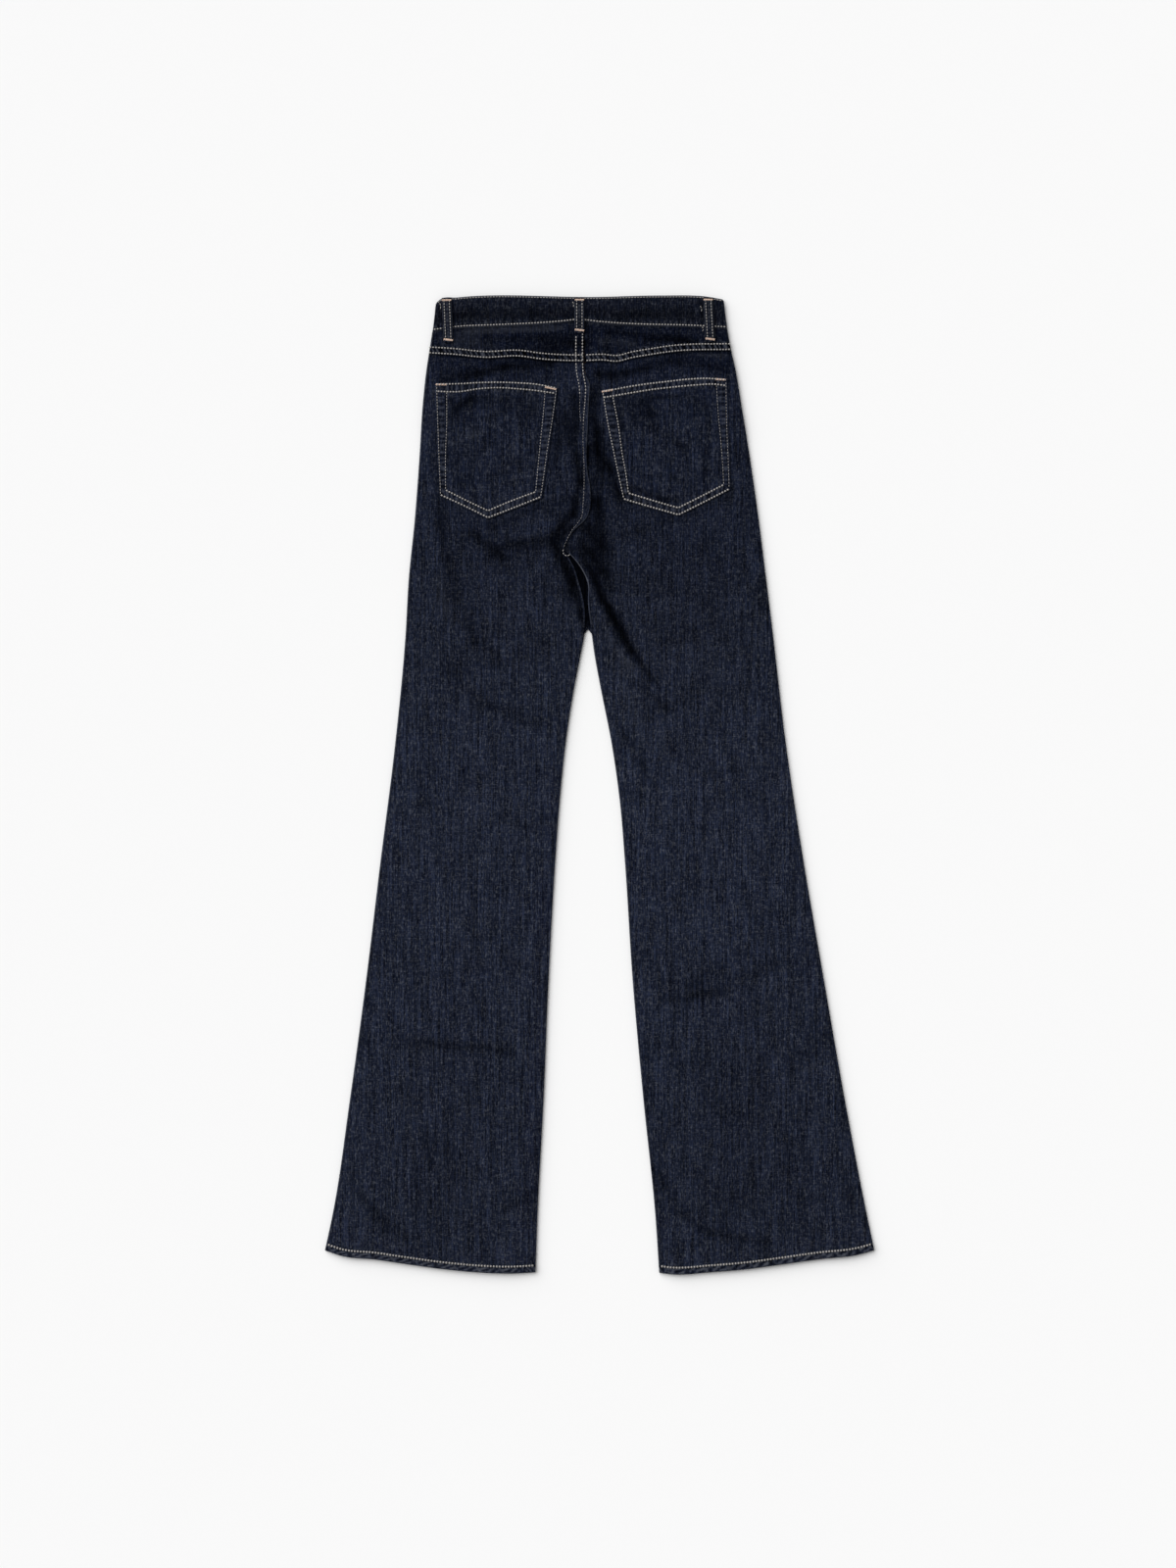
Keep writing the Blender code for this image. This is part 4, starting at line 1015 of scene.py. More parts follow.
NEAR_EDGE = np.array([0.0, 0.35, 0.8, 1.3, 1.8, 2.3, 3.0, 4.0])
LAPPED_EDGE = np.array([0.0, 0.3, 0.7, 1.2, 1.7, 2.2, 3.0, 3.9, 4.8, 5.7, 6.6, 7.4, 8.0, 8.6, 9.2,
                        9.9, 11.0])
# The lowest row of the leg panels' points, before it bends to the hem's edge
FOOT_Y = -546.0
HEM_ROW = 7.8
HEM_ROW_ENDS = {Side.LEFT: (-305.0, -73.5), Side.RIGHT: (68.5, 305.0)}


def hem_run(side: Side) -> Array:
    """The run of a hem's stitch row."""
    across = np.linspace(*HEM_ROW_ENDS[side], 500)
    return np.stack((across, line_y(HEMS[side], across) + HEM_ROW), axis=1)


def spaced(near: Array, far: Array, count: int) -> tuple[Array, Array]:
    """Shares and added lengths that place columns at fixed distances from both edges.

    A column lies at share * width + added. Between the fixed ones the rest are even.

    Args:
        near: distances of the columns at the first edge.
        far: distances of those at the last edge.
        count: how many steps lie between.

    Returns:
        Shares and added lengths.
    """
    way = np.linspace(0, 1, count + 1)[1:-1]
    share = np.concatenate((np.zeros(len(near)), way, np.ones(len(far))))
    added = np.concatenate((near, near[-1] * (1 - way) - far[-1] * way, -far[::-1]))
    return share, added


def edge_roll(distance: Array, radius: float = 1.0) -> Array:
    """How far a wall's outer side drops at its rounded edge, as a share of its radius."""
    return 1 - np.sqrt(1 - (1 - np.clip(distance / radius, 0, 1)) ** 2)


class SeatRow(NamedTuple):
    """A part of a stitch run, between two heights, and how thick its thread shows."""

    run: tuple[Point, ...]
    low: float
    high: float
    weight: float


SEAT_ROWS = (
    SeatRow(SEAT_STITCH_OUTER, 438, 474, 1.3), SeatRow(SEAT_STITCH_INNER, 438, 474, 1.2),
    SeatRow(SEAT_STITCH_OUTER, 407, 438, 0.9), SeatRow(SEAT_STITCH_INNER, 407, 438, 0.42),
    SeatRow(SEAT_STITCH_OUTER, 260, 407, 0.42),
)
YOKE_SEAT_ROWS = (SeatRow(SEAT_STITCH_OUTER, 475, math.inf, 1.5),
                  SeatRow(SEAT_STITCH_INNER, 475, math.inf, 1.5))


@dataclass
class BackHalf:
    """One side of the back: the leg panel from hem to yoke seam, and the yoke above it."""

    kit: Kit
    side: Side
    step: float = 3.0
    hem_depth: float = 9.0
    hem_weight: float = 2.4
    yoke_weight: float = 1.7
    hook_weight: float = 0.9
    edge_drop: float = 0.75
    foot_bend: float = 90.0
    head_bend: float = 60.0
    columns: int = 62
    yoke_columns: int = 150
    yoke_rows: int = 16
    yoke_middle: float = 495.0
    yoke_row_ends: tuple[tuple[float, float], ...] = ((-191.5, -18.2), (-15.4, 147.0))
    hem: FelledEdge = FelledEdge(width=8.6, rows=(HEM_ROW,), pucker=0.26, pitch=6.4, slant=0.9)
    yoke: FelledEdge = FelledEdge(pale=0.42, pitch=6.2)
    seat: FelledEdge = FelledEdge(rows=(), pucker=0.16, pitch=7.0, seed=2.0)

    def seat_distance(self, x: Array, y: Array) -> Array:
        """Distance from the seat seam, square to it."""
        slope = (line_x(SEAT_SEAM, y + 1) - line_x(SEAT_SEAM, y - 1)) / 2
        return np.abs(line_x(SEAT_SEAM, y) - x) / np.sqrt(1 + slope ** 2)

    def edges(self, x: Array, y: Array) -> tuple[Array, Array, Array, Array]:
        """Distances from the side seam, the inseam, the seat seam and the yoke seam."""
        outer = np.abs(x - edge_x(OUTSEAMS, self.side, y))
        inner = np.abs(x - edge_x(INSEAMS, self.side, y))
        inner = np.where(y < self.kit.drape.crotch_y, inner, 99.0)
        return outer, inner, self.seat_distance(x, y), y - line_y(YOKE_SEAM, x)

    def top(self, x: Array, y: Array) -> Array:
        """Outer side of the cloth with its seams.

        The drape, plus ridges where the seam allowances press through beside the side seam and
        the inseam, plus the felled seat and yoke seams and the hem.
        """
        outer, inner, seat, yoke = self.edges(x, y)
        above = ease(y, 262.0, 268.0)
        lift = np.zeros(np.broadcast(x, y).shape)
        for edge in (outer, inner):
            lift += 0.3 * bell(edge - 1.1, 0.6) - 0.28 * bell(edge - 2.4, 0.7)
            lift += 0.09 * ripple(y, 8.5, 3.0) * bell(edge - 3.0, 3.0)
        lift += self.hem.lift(y - line_y(HEMS[self.side], x), x)
        felled = np.where(yoke > 0, self.yoke.lift(np.maximum(yoke, 0), x), 0)
        if self.side is Side.LEFT:
            stitched = 0.3 * (bell(distance_to(SEAT_STITCH_OUTER, x, y), 0.8)
                              + bell(distance_to(SEAT_STITCH_INNER, x, y), 0.8))
            felled = np.maximum(felled, self.seat.lift(seat, y) * above) - stitched * above
        else:
            felled = felled - 0.25 * bell(seat, 2.5) * above
        return self.kit.drape.back(self.side, x, y) + lift + felled

    def wear_and_shade(self, x: Array, y: Array) -> Array:
        """Tone: pale ridges; painted shade in folds, grooves and beside seams; painted highlight on
        rims.
        """
        outer, inner, seat, yoke = self.edges(x, y)
        above = ease(y, 262.0, 268.0)
        # Pale on the ridges of the folds, plus the painted shade of the creases
        tone = 0.05 * np.maximum(self.kit.drape.folds(x, y), 0) + self.kit.drape.shade(x, y)
        # Edges pale, with painted light on edges that face the left and painted shade on those
        # facing right, and painted shade in the groove beside each seam
        for edge, faces in ((outer, self.side.inward), (inner, -self.side.inward)):
            tone += (0.1 + 0.22 * faces) * bell(edge - 0.8, 0.9) - 0.25 * bell(edge - 2.6, 0.8)
        # Near the crotch the tone beside the inner edge is cleared and a painted highlight laid
        # along its rim, stronger higher up on the right panel
        crotch = ease(y, 172.0, 185.0) * (1 - ease(y, 258.0, 264.0))
        rim_highlight = 0.16 if self.side is Side.LEFT else 0.14 + 0.42 * ease(y, 214.0, 230.0)
        tone = tone * (1 - crotch * bell(inner, 2.4)) + rim_highlight * crotch * bell(inner - 0.8, 0.8)
        tone += self.hem.wear_and_shade(y - line_y(HEMS[self.side], x), x)
        hemmed = y < line_y(HEMS[self.side], x) + self.hem_depth
        tone += hemmed * (0.23 + 0.13 * ripple(x, 4.1, 6.0) + 0.1 * ripple(x, 9.7, 2.0))
        # Painted shadow just under the yoke's lapped edge; on the yoke, its felled seam's tone
        tone += np.where(yoke > 0, self.yoke.wear_and_shade(np.maximum(yoke, 0), x),
                         -0.6 * bell(yoke, 1.6))
        if self.side is Side.LEFT:
            # Beside the seat seam's stitch rows: painted shade higher up, and a pale line under the
            # thin outer row below about 400 mm
            rolled = above * (1 - ease(y, 398.0, 415.0))
            tone += (0.3 * rolled - 0.25 * above) * bell(distance_to(SEAT_STITCH_OUTER, x, y), 0.9)
            tone -= 0.25 * bell(distance_to(SEAT_STITCH_INNER, x, y), 1.0) * above
            # Painted highlight on the lit rim of the seat seam's edge, with the tone under it
            # cleared
            lit = above * (1 - 0.3 * ease(y, 320.0, 350.0)) * (1 - ease(y, 452.0, 466.0))
            lit = lit * (1 - 0.45 * bell(y - 316.0, 26.0))
            tone = tone * (1 - lit * bell(seat, 1.8)) + 0.42 * bell(seat - 0.8, 0.8) * lit
        else:
            # Painted shade in the valley where the right panel runs under the seat seam
            tone -= 0.45 * bell(seat, 3.5) * above
        return tone

    def plan(self, rows: Array, foot: Callable, head: Callable,
             middle: int) -> tuple[Array, Array]:
        """The x and y of the leg panel's points.

        Rows are straight; the last bends to the head line, the first to the foot line, and the
        bend fades between them.

        Args:
            rows: heights of the rows.
            foot: the y of the foot line at x.
            head: the y of the head line at x.
            middle: how many steps lie between the columns at the edges.

        Returns:
            The x and the y of each point.
        """
        far = LAPPED_EDGE if self.side is Side.LEFT else NEAR_EDGE
        share, added = spaced(NEAR_EDGE, far, middle)
        y = np.repeat(rows[:, None], len(share), axis=1)
        for _ in range(4):
            x = self.across(y, share, added)
            bend = (1 - ease(rows[-1] - rows, 0, self.head_bend))[:, None] * (head(x) - rows[-1])
            bend = bend + (1 - ease(rows - rows[0], 0, self.foot_bend))[:, None] * (
                foot(x) - rows[0])
            y = rows[:, None] + bend
        return self.turned(self.across(y, share, added), y)

    def across(self, y: Array, share: Array, added: Array) -> Array:
        """The x of each column at y, from the side seam to the inner edge."""
        outer, inner = edge_x(OUTSEAMS, self.side, y), self.kit.drape.inner_edge(self.side, y)
        return outer + (inner - outer) * share + self.side.inward * added

    def turned(self, x: Array, y: Array) -> tuple[Array, Array]:
        """Columns in the order of rising x."""
        return (x, y) if self.side is Side.LEFT else (x[:, ::-1], y[:, ::-1])

    def wall(self, name: str, node: str, x: Array, y: Array, rests_on: list[str],
             stitches: StitchSet) -> None:
        """Make one cloth piece of this half with its stitching.

        Args:
            name: the piece's name.
            node: the CAD node that it replaces.
            x: places across of its points.
            y: places along.
            rests_on: names of what it lies on; not used.
            stitches: its stitching.
        """
        outer, inner, _, _ = self.edges(x, y)
        edge = np.minimum(np.minimum(outer, inner), y - line_y(HEMS[self.side], x))
        low = stacked(x, y, self.kit.drape.inside(self.side, x, y))
        high = self.top(x, y) - self.edge_drop * edge_roll(edge)
        piece = shell(name, low, stacked(x, y, high), self.kit.denim, self.wear_and_shade(x, y))
        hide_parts(node)
        declare(piece, low, [stitches.build()])

    def sew_seat(self, stitches: StitchSet, rows: tuple[SeatRow, ...]) -> None:
        """Add the seat seam's rows, each between its two heights."""
        for row in rows:
            path = run_through(row.run)
            stitches.row(path[(path[:, 1] >= row.low) & (path[:, 1] < row.high)], self.top,
                         weight=row.weight)

    def build_leg(self) -> None:
        """The leg panel with its hem and, on the left, the lapped seat seam."""
        rows = np.concatenate((FOOT_Y + LAPPED_EDGE, np.arange(-532.0, 468.0, self.step),
                               476.0 - NEAR_EDGE[::-1]))
        x, y = self.plan(rows, lambda at: line_y(HEMS[self.side], at),
                         lambda at: line_y(YOKE_SEAM, at) - self.kit.drape.gap / 2, self.columns)
        name = self.side.value
        stitches = StitchSet(f"topstitching_back_{name}", self.kit.threads)
        stitches.row(hem_run(self.side), self.top, weight=self.hem_weight)
        if self.side is Side.LEFT:
            self.sew_seat(stitches, SEAT_ROWS)
            stitches.row(run_through(CROTCH_HOOK), self.top, weight=self.hook_weight)
        self.wall(f"back_panel_{name}", f"back_{name}", x, y, [f"front_panel_{name}"], stitches)

    def build_yoke(self) -> None:
        """The yoke, lapped over the leg panel with two rows of stitches."""
        drape, left = self.kit.drape, self.side is Side.LEFT
        share, added = spaced(NEAR_EDGE, LAPPED_EDGE if left else NEAR_EDGE, self.yoke_columns)
        up_share, up_added = spaced(LAPPED_EDGE, np.array([0.0, 0.4, 1.0]), self.yoke_rows)
        y = np.full((len(up_share), len(share)), self.yoke_middle)
        for _ in range(4):
            x = self.across(y, share, added)
            low, high = line_y(YOKE_SEAM, x) + drape.gap / 2, line_y(WAIST_FOOT, x)
            y = low + (high - low) * up_share[:, None] + up_added[:, None]
        x, y = self.turned(x, y)
        name = self.side.value
        stitches = StitchSet(f"topstitching_yoke_{name}", self.kit.threads)
        across = np.linspace(*self.yoke_row_ends[0 if left else 1], 400)
        for row in self.yoke.rows:
            stitches.row(np.stack((across, line_y(YOKE_SEAM, across) + row), axis=1), self.top,
                         weight=self.yoke_weight)
        if left:
            self.sew_seat(stitches, YOKE_SEAT_ROWS)
        self.wall(f"yoke_cloth_{name}", f"yoke_{name}", x, y,
                  [f"front_panel_{name}", f"back_panel_{name}"], stitches)


@dataclass(frozen=True)
class PocketPattern:
    """One back pocket: its corners, its stitch rows and its bar tacks."""

    side: Side
    top_left: Point
    top_right: Point
    foot_left: Point
    foot_right: Point
    tip: Point
    rows: tuple[tuple[Point, ...], ...]
    tacks: tuple[tuple[Point, Point], ...]
    side_weights: tuple[float, float] = (0.7, 0.7)
    level_weight: float = 1.85


POCKETS = (
    PocketPattern(
        Side.LEFT, Point(-184.3, 450.6), Point(-46.6, 445.8), Point(-180, 324.8),
        Point(-64.5, 321.4), Point(-125, 298),
        rows=(
            marks((-183, 449.6), (-157.1, 450), (-135.1, 451.2), (-112, 451.6),
                (-92.6, 451), (-71.3, 449.5), (-49, 445.2)),
            marks((-182, 441.5), (-157.1, 441.2), (-136.2, 444.3), (-114.2, 445.6),
                (-92.6, 444.4), (-71.3, 442.4), (-50.4, 439.4)),
            marks((-182.6, 447), (-181.4, 407.3), (-179.9, 365.5), (-178.6, 333),
                (-178.4, 326.2)),
            marks((-178.4, 325.6), (-151, 313), (-125, 300)),
            marks((-125, 300), (-98.3, 310.3), (-66, 323.1)),
            marks((-48.6, 443), (-53.5, 407.3), (-58.2, 379.3), (-63, 344.2), (-66, 323.6)),
            marks((-171.4, 441), (-171.4, 407.3), (-172.7, 372.1), (-172.7, 331.4)),
            marks((-61.1, 441), (-63.3, 414.4), (-66.9, 379.3), (-70.2, 344.2), (-71.6, 329.2)),
            marks((-172.7, 330.9), (-148.8, 318.9), (-125, 307.7)),
            marks((-125, 307.7), (-98.3, 318.9), (-71.6, 328.8)),
        ),
        tacks=(marks((-183.6, 449.4), (-171.4, 449.2)), marks((-61, 446.4), (-48.6, 443.8))),
    ),
    PocketPattern(
        Side.RIGHT, Point(1.5, 442.8), Point(143.2, 455.2), Point(25.5, 319.4),
        Point(147, 331.4), Point(88.4, 301.2),
        rows=(
            marks((3.5, 441.8), (14.9, 443.4), (32.3, 446.6), (54.8, 450), (77.2, 452.6),
                (98.3, 455), (119.4, 456), (141.8, 454.6)),
            marks((4.2, 434.6), (16.7, 436.6), (37.6, 440.2), (57.4, 443.4), (83.8, 446.4),
                (105.4, 448.4), (130.6, 449.4), (141.6, 448)),
            marks((3.8, 440), (9.8, 403.2), (14.8, 379.3), (20.3, 352.6), (27, 322)),
            marks((27, 321), (49.2, 314.4), (68.9, 308.8), (88.4, 303.2)),
            marks((88.4, 303.2), (112.3, 315.1), (127.8, 323), (145.3, 332)),
            marks((141.7, 452), (142.4, 407.3), (143.9, 372.1), (145.2, 334)),
            marks((14.9, 435.4), (21.1, 403.2), (25.3, 372.1), (29.6, 348.4), (32.3, 327.8)),
            marks((131.1, 449), (132.7, 421.3), (135.5, 390.5), (138, 358.2), (139.2, 337.2)),
            marks((32.3, 327.4), (54.8, 320.6), (71.6, 315.6), (88.4, 310.9)),
            marks((88.4, 310.9), (112.3, 322.9), (139.2, 336.8)),
        ),
        tacks=(marks((2.6, 441.2), (14.5, 443.2)), marks((130, 455.3), (141.6, 454.5))),
        side_weights=(1.18, 0.53),
        level_weight=2,
    ),
)


@dataclass
class BackPocket:
    """A patch pocket: a pentagon with a hemmed mouth and turned, double-stitched edges."""

    kit: Kit
    pattern: PocketPattern
    bow: float = 3.5
    step: float = 1.25
    clearance: float = 0.35
    border: float = 10.0

    def edges(self, x: Array, y: Array) -> tuple[Array, Array, Array]:
        """Distances from the mouth, the V foot and the nearer side."""
        cut = self.pattern
        mouth = self.mouth(x) - y
        foot = distance_to((cut.foot_left, cut.tip, cut.foot_right), x, y)
        sides = np.minimum(distance_to((cut.top_left, cut.foot_left), x, y),
                           distance_to((cut.top_right, cut.foot_right), x, y))
        return mouth, foot, sides

    def mouth(self, x: Array) -> Array:
        """The y of the mouth's edge at x: the chord plus a shallow bow."""
        cut = self.pattern
        share = (x - cut.top_left.x) / (cut.top_right.x - cut.top_left.x)
        return (cut.top_left.y + (cut.top_right.y - cut.top_left.y) * share
                + self.bow * 4 * share * (1 - share))

    def top(self, x: Array, y: Array) -> Array:
        """Outer side: the panel's drape moved out, thicker at the turned edges, stitched down."""
        drape = self.kit.drape
        mouth, foot, sides = self.edges(x, y)
        edge = np.minimum(np.minimum(mouth, foot), sides)
        border = 1 - ease(edge, self.border - 1.2, self.border + 0.8)
        stitched = sum(bell(distance_to(row, x, y), 0.8) for row in self.pattern.rows)
        level = drape.back(self.pattern.side, x, y) + self.clearance + drape.cloth
        return (level + 0.3 * border - 0.26 * np.minimum(stitched, 1)
                + 0.15 * self.wave(x, y, mouth, foot, sides)
                - 0.55 * edge_roll(edge))

    def wave(self, x: Array, y: Array, mouth: Array, foot: Array, sides: Array) -> Array:
        """Puckers between the stitch rows, running along whichever edge is nearest."""
        along = np.where(sides < np.minimum(mouth, foot), y, x)
        edge = np.minimum(np.minimum(mouth, foot), sides)
        window = ease(edge, 0.6, 2.4) * (1 - ease(edge, 7.5, 12.0))
        return ripple(along, 6.2, self.pattern.tip.x) * window

    def wear_and_shade(self, x: Array, y: Array) -> Array:
        """Tone: paler puckers and edge; painted shade beside the stitches, in the puckers' hollows
        and in the folds.
        """
        mouth, foot, sides = self.edges(x, y)
        edge = np.minimum(np.minimum(mouth, foot), sides)
        wave = self.wave(x, y, mouth, foot, sides)
        stitched = sum(bell(distance_to(row, x, y), 1.0) for row in self.pattern.rows)
        return (0.25 * np.maximum(wave, 0) + 0.6 * np.minimum(wave, 0)
                + 0.15 * bell(edge - 0.6, 0.5) - 0.35 * np.minimum(stitched, 1)
                + self.kit.drape.shade(x, y))

    def plan(self) -> tuple[Array, Array]:
        """The x and y of the pocket's points, rows from the foot to the mouth."""
        cut = self.pattern
        top_l, top_r = np.array(cut.top_left), np.array(cut.top_right)
        foot_l, foot_r = np.array(cut.foot_left), np.array(cut.foot_right)
        tip = (cut.tip.x - foot_l[0]) / (foot_r[0] - foot_l[0])
        fine = np.array([0.0, 0.003, 0.007, 0.012])
        half = int(68 / self.step)
        left, right = np.linspace(0.018, tip, half), np.linspace(tip, 0.982, half)[1:]
        across = np.concatenate((fine, left, right, 1 - fine[::-1]))
        down = np.concatenate((fine, np.linspace(0.018, 0.982, int(130 / self.step)),
                               1 - fine[::-1]))[:, None, None]
        top = top_l + (top_r - top_l) * across[:, None]
        top[:, 1] = self.mouth(top[:, 0])
        foot = foot_l + (foot_r - foot_l) * across[:, None]
        chord = foot_l[1] + (foot_r[1] - foot_l[1]) * tip
        peak = 1 - np.abs(across - tip) / np.where(across < tip, tip, 1 - tip)
        foot[:, 1] += (cut.tip.y - chord) * peak
        grid = foot[None] + (top - foot)[None] * down
        return grid[..., 0], grid[..., 1]

    def build(self) -> None:
        """Make the pocket with its stitching and bar tacks."""
        name = self.pattern.side.value
        x, y = self.plan()
        low = self.kit.drape.back(self.pattern.side, x, y) + self.clearance
        stitches = StitchSet(f"topstitching_pocket_{name}", self.kit.threads)
        for row in self.pattern.rows:
            level = abs(row[-1].y - row[0].y) < abs(row[-1].x - row[0].x)
            side_weight = self.pattern.side_weights[int(row[0].x > self.pattern.tip.x)]
            stitches.row(run_through(row), self.top,
                         weight=self.pattern.level_weight if level else side_weight)
        for start, end in self.pattern.tacks:
            stitches.tack(start, end, self.top)
        piece = shell(f"pocket_{name}", stacked(x, y, low), stacked(x, y, self.top(x, y)),
                      self.kit.denim, self.wear_and_shade(x, y))
        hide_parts(f"back_pocket_{name}")
        declare(piece, stacked(x, y, low), [stitches.build()])


@dataclass
class FrontLoopPlaces:
    """Where the two front belt loops lie, and how they dent the cloth over them."""

    drape: Drape
    reach: float = 82.0
    tail: float = 11.0
    width: float = 11.0
    wall: float = 1.3

    def middle(self, side: Side) -> float:
        """The x of a loop's middle."""
        return self.drape.centre_x - side.inward * self.reach

    def dent(self, x: Array, y: Array) -> Array:
        """How far the front cloth is pushed up over the loops."""
        dent = np.zeros(np.broadcast(x, y).shape)
        for side in Side:
            middle = self.middle(side)
            foot = self.drape.front_foot(middle) - self.tail
            across = 1 - ease(np.abs(x - middle), self.width / 2 + 3, self.width / 2 + 11)
            dent = np.maximum(dent, across * ease(y, foot - 9.0, foot - 0.6))
        return dent * (self.wall + self.drape.gap)


@dataclass
class FrontHalf:
    """One side of the front, flat on the floor: the leg panel and its pocket facing."""

    kit: Kit
    side: Side
    loops: FrontLoopPlaces
    fork_y: float = 175.0
    scoop_width: float = 55.0
    scoop_depth: float = 78.0
    scoop_y: float = 508.0
    lean: float = 0.6
    foot_bend: float = 90.0
    head_bend: float = 40.0
    step: float = 5.0
    columns: int = 56
    row_insets: tuple[float, float] = (2.0, 8.0)
    fly_reaches: tuple[float, float] = (38.0, 32.0)
    fly_top: float = 487.0
    fly_foot: float = 378.0
    fly_corner: float = 2.0
    seat_row_top: float = 338.0
    hem: FelledEdge = FelledEdge(width=8.6, rows=(HEM_ROW,), rise=0.0, pucker=0.2, pitch=6.4,
                                 slant=0.9)

    def centre_front(self, y: Array) -> Array:
        """The seam between the two fronts, straight from the waist to the fork."""
        centre = self.kit.drape.centre_x
        return centre + (y - 500.0) / (self.fork_y - 500.0) * (-13.0 - centre)

    def inner_edge(self, y: Array) -> Array:
        """Centre front seam above the fork, inseam below it."""
        edge = np.where(y >= self.fork_y, self.centre_front(y), edge_x(INSEAMS, self.side, y))
        return edge - self.side.inward * self.kit.drape.gap / 2

    def scoop(self, turn: Array, out: float = 0.0) -> Array:
        """Points of the pocket mouth: a quarter ellipse about the corner at waist and side."""
        corner = edge_x(OUTSEAMS, self.side, 505.0)
        return np.stack((corner + self.side.inward * (self.scoop_width + out) * np.sin(turn),
                         self.scoop_y - (self.scoop_depth + out) * np.cos(turn)), axis=-1)

    def outer_edge(self, y: Array) -> Array:
        """The side seam, and the pocket mouth where that lies further in."""
        seam = edge_x(OUTSEAMS, self.side, y)
        height = np.clip((self.scoop_y - y) / self.scoop_depth, 0, 1)
        corner = edge_x(OUTSEAMS, self.side, 505.0)
        mouth = corner + self.side.inward * self.scoop_width * np.sqrt(1 - height ** 2)
        pick = np.maximum if self.side is Side.LEFT else np.minimum
        return np.where(y > self.scoop_y - self.scoop_depth, pick(seam, mouth), seam)

    def under(self, x: Array, y: Array) -> Array:
        """Outer side, which faces the floor: raised by grooves under the seams and by dents."""
        hem = self.hem
        distance = y - line_y(HEMS[self.side], x)
        puckers = hem.groove * bell(distance - HEM_ROW, 0.75) + 0.1 * (1 + hem.wave(distance, x)) * (
            distance < 12)
        troughs = np.minimum(-0.9 * self.kit.drape.shade(x, y, FRONT_SHADES), 0.3)
        return self.loops.dent(x, y) + np.maximum(puckers, 0) + troughs

    def wear_and_shade(self, x: Array, y: Array) -> Array:
        """Tone of the outer side: paler edges and hem; painted shade in the grooves, seams and
        troughs.
        """
        tone = self.kit.drape.shade(x, y, FRONT_SHADES)
        for edge in (np.abs(x - self.outer_edge(y)), np.abs(x - self.inner_edge(y))):
            tone = tone + 0.12 * bell(edge - 0.8, 0.9)
        return tone + self.hem.wear_and_shade(y - line_y(HEMS[self.side], x), x)

    def gap_shadow(self, x: Array, y: Array) -> Array:
        """Painted shadow on the inner side, behind the gap that opens over the fork."""
        across = 1 - ease(np.abs(x + 8.0), 26.0, 36.0)
        return -0.97 * ease(y, 170.0, 182.0) * (1 - ease(y, 285.0, 300.0)) * across

    def leaned(self, x: Array, y: Array) -> Array:
        """The x of the inner side, moved at the centre seam so that the slit there stands aslant.

        No floor shows through it then; the shift fades within 3 mm of the seam.

        Args:
            x: places across on the outer side.
            y: places along.

        Returns:
            Places across on the inner side.
        """
        beside = 1 - ease(np.abs(x - self.inner_edge(y)), 0.0, 3.0)
        return x + self.lean * beside * ease(y, self.fork_y, self.fork_y + 6.0)

    def plan(self) -> tuple[Array, Array]:
        """The x and y of the panel's points, rows from the hem to the waistband.

        Rows are straight, closer along the pocket mouth; the last bends to the waistband's foot,
        the first to the hem, and the bend fades between them.

        Returns:
            The x and the y of each point.
        """
        drape = self.kit.drape
        start = self.scoop_y - self.scoop_depth
        rows = np.concatenate((FOOT_Y + LAPPED_EDGE, np.arange(-530.0, start - 2.0, self.step),
                               self.scoop_y - self.scoop_depth * np.cos(
                                   np.linspace(0.03, 1.38, 26))))
        share, added = spaced(NEAR_EDGE[:4], NEAR_EDGE[:4], self.columns)
        y = np.repeat(rows[:, None], len(share), axis=1)
        for _ in range(5):
            outer, inner = self.outer_edge(y), self.inner_edge(y)
            x = outer + (inner - outer) * share + self.side.inward * added
            bend = (1 - ease(rows[-1] - rows, 0, self.head_bend))[:, None] * (
                drape.front_foot(x) - drape.gap - rows[-1])
            bend = bend + (1 - ease(rows - rows[0], 0, self.foot_bend))[:, None] * (
                line_y(HEMS[self.side], x) - rows[0])
            y = rows[:, None] + bend
        return (x, y) if self.side is Side.LEFT else (x[:, ::-1], y[:, ::-1])

    def build(self) -> None:
        """Make the front panel with its stitching."""
        x, y = self.plan()
        low = stacked(x, y, self.under(x, y))
        high = stacked(self.leaned(x, y), y, self.loops.dent(x, y) + self.kit.drape.cloth)
        piece = shell(f"front_panel_{self.side.value}", low, high, self.kit.denim,
                      self.gap_shadow(x, y), self.wear_and_shade(x, y))
        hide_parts(f"front_{self.side.value}")
        declare(piece, low, [self.stitching()])

    def stitching(self) -> bpy.types.Object:
        """Hem, pocket mouth, fly and crotch rows, on the side that faces the floor."""
        stitches = StitchSet(f"topstitching_front_{self.side.value}", self.kit.threads)
        runs = [hem_run(self.side)]
        for inset in self.row_insets:
            path = self.scoop(np.linspace(0.06, 1.36, 200), inset)
            runs.append(path[path[:, 1] < self.kit.drape.front_foot(path[:, 0]) - 1.5])
        if self.side is Side.LEFT:
            down = np.linspace(self.fly_top, self.fly_foot, 220)
            centre = self.centre_front(down)
            bend = np.linspace(0, math.pi / 2, 60)
            for reach in self.fly_reaches:
                radius = reach - self.fly_corner
                curve_x = centre[-1] - self.fly_corner - radius * np.cos(bend)
                curve_y = self.fly_foot - radius * np.sin(bend)
                runs.append(np.stack((np.concatenate((centre - reach, curve_x)),
                                      np.concatenate((down, curve_y))), axis=1))
            down = np.linspace(self.seat_row_top, self.fork_y + 2.0, 330)
            runs += [np.stack((self.centre_front(down) - inset, down), axis=1)
                     for inset in self.row_insets]
        for run in runs:
            stitches.row(run, self.under, -1)
        return stitches.build()


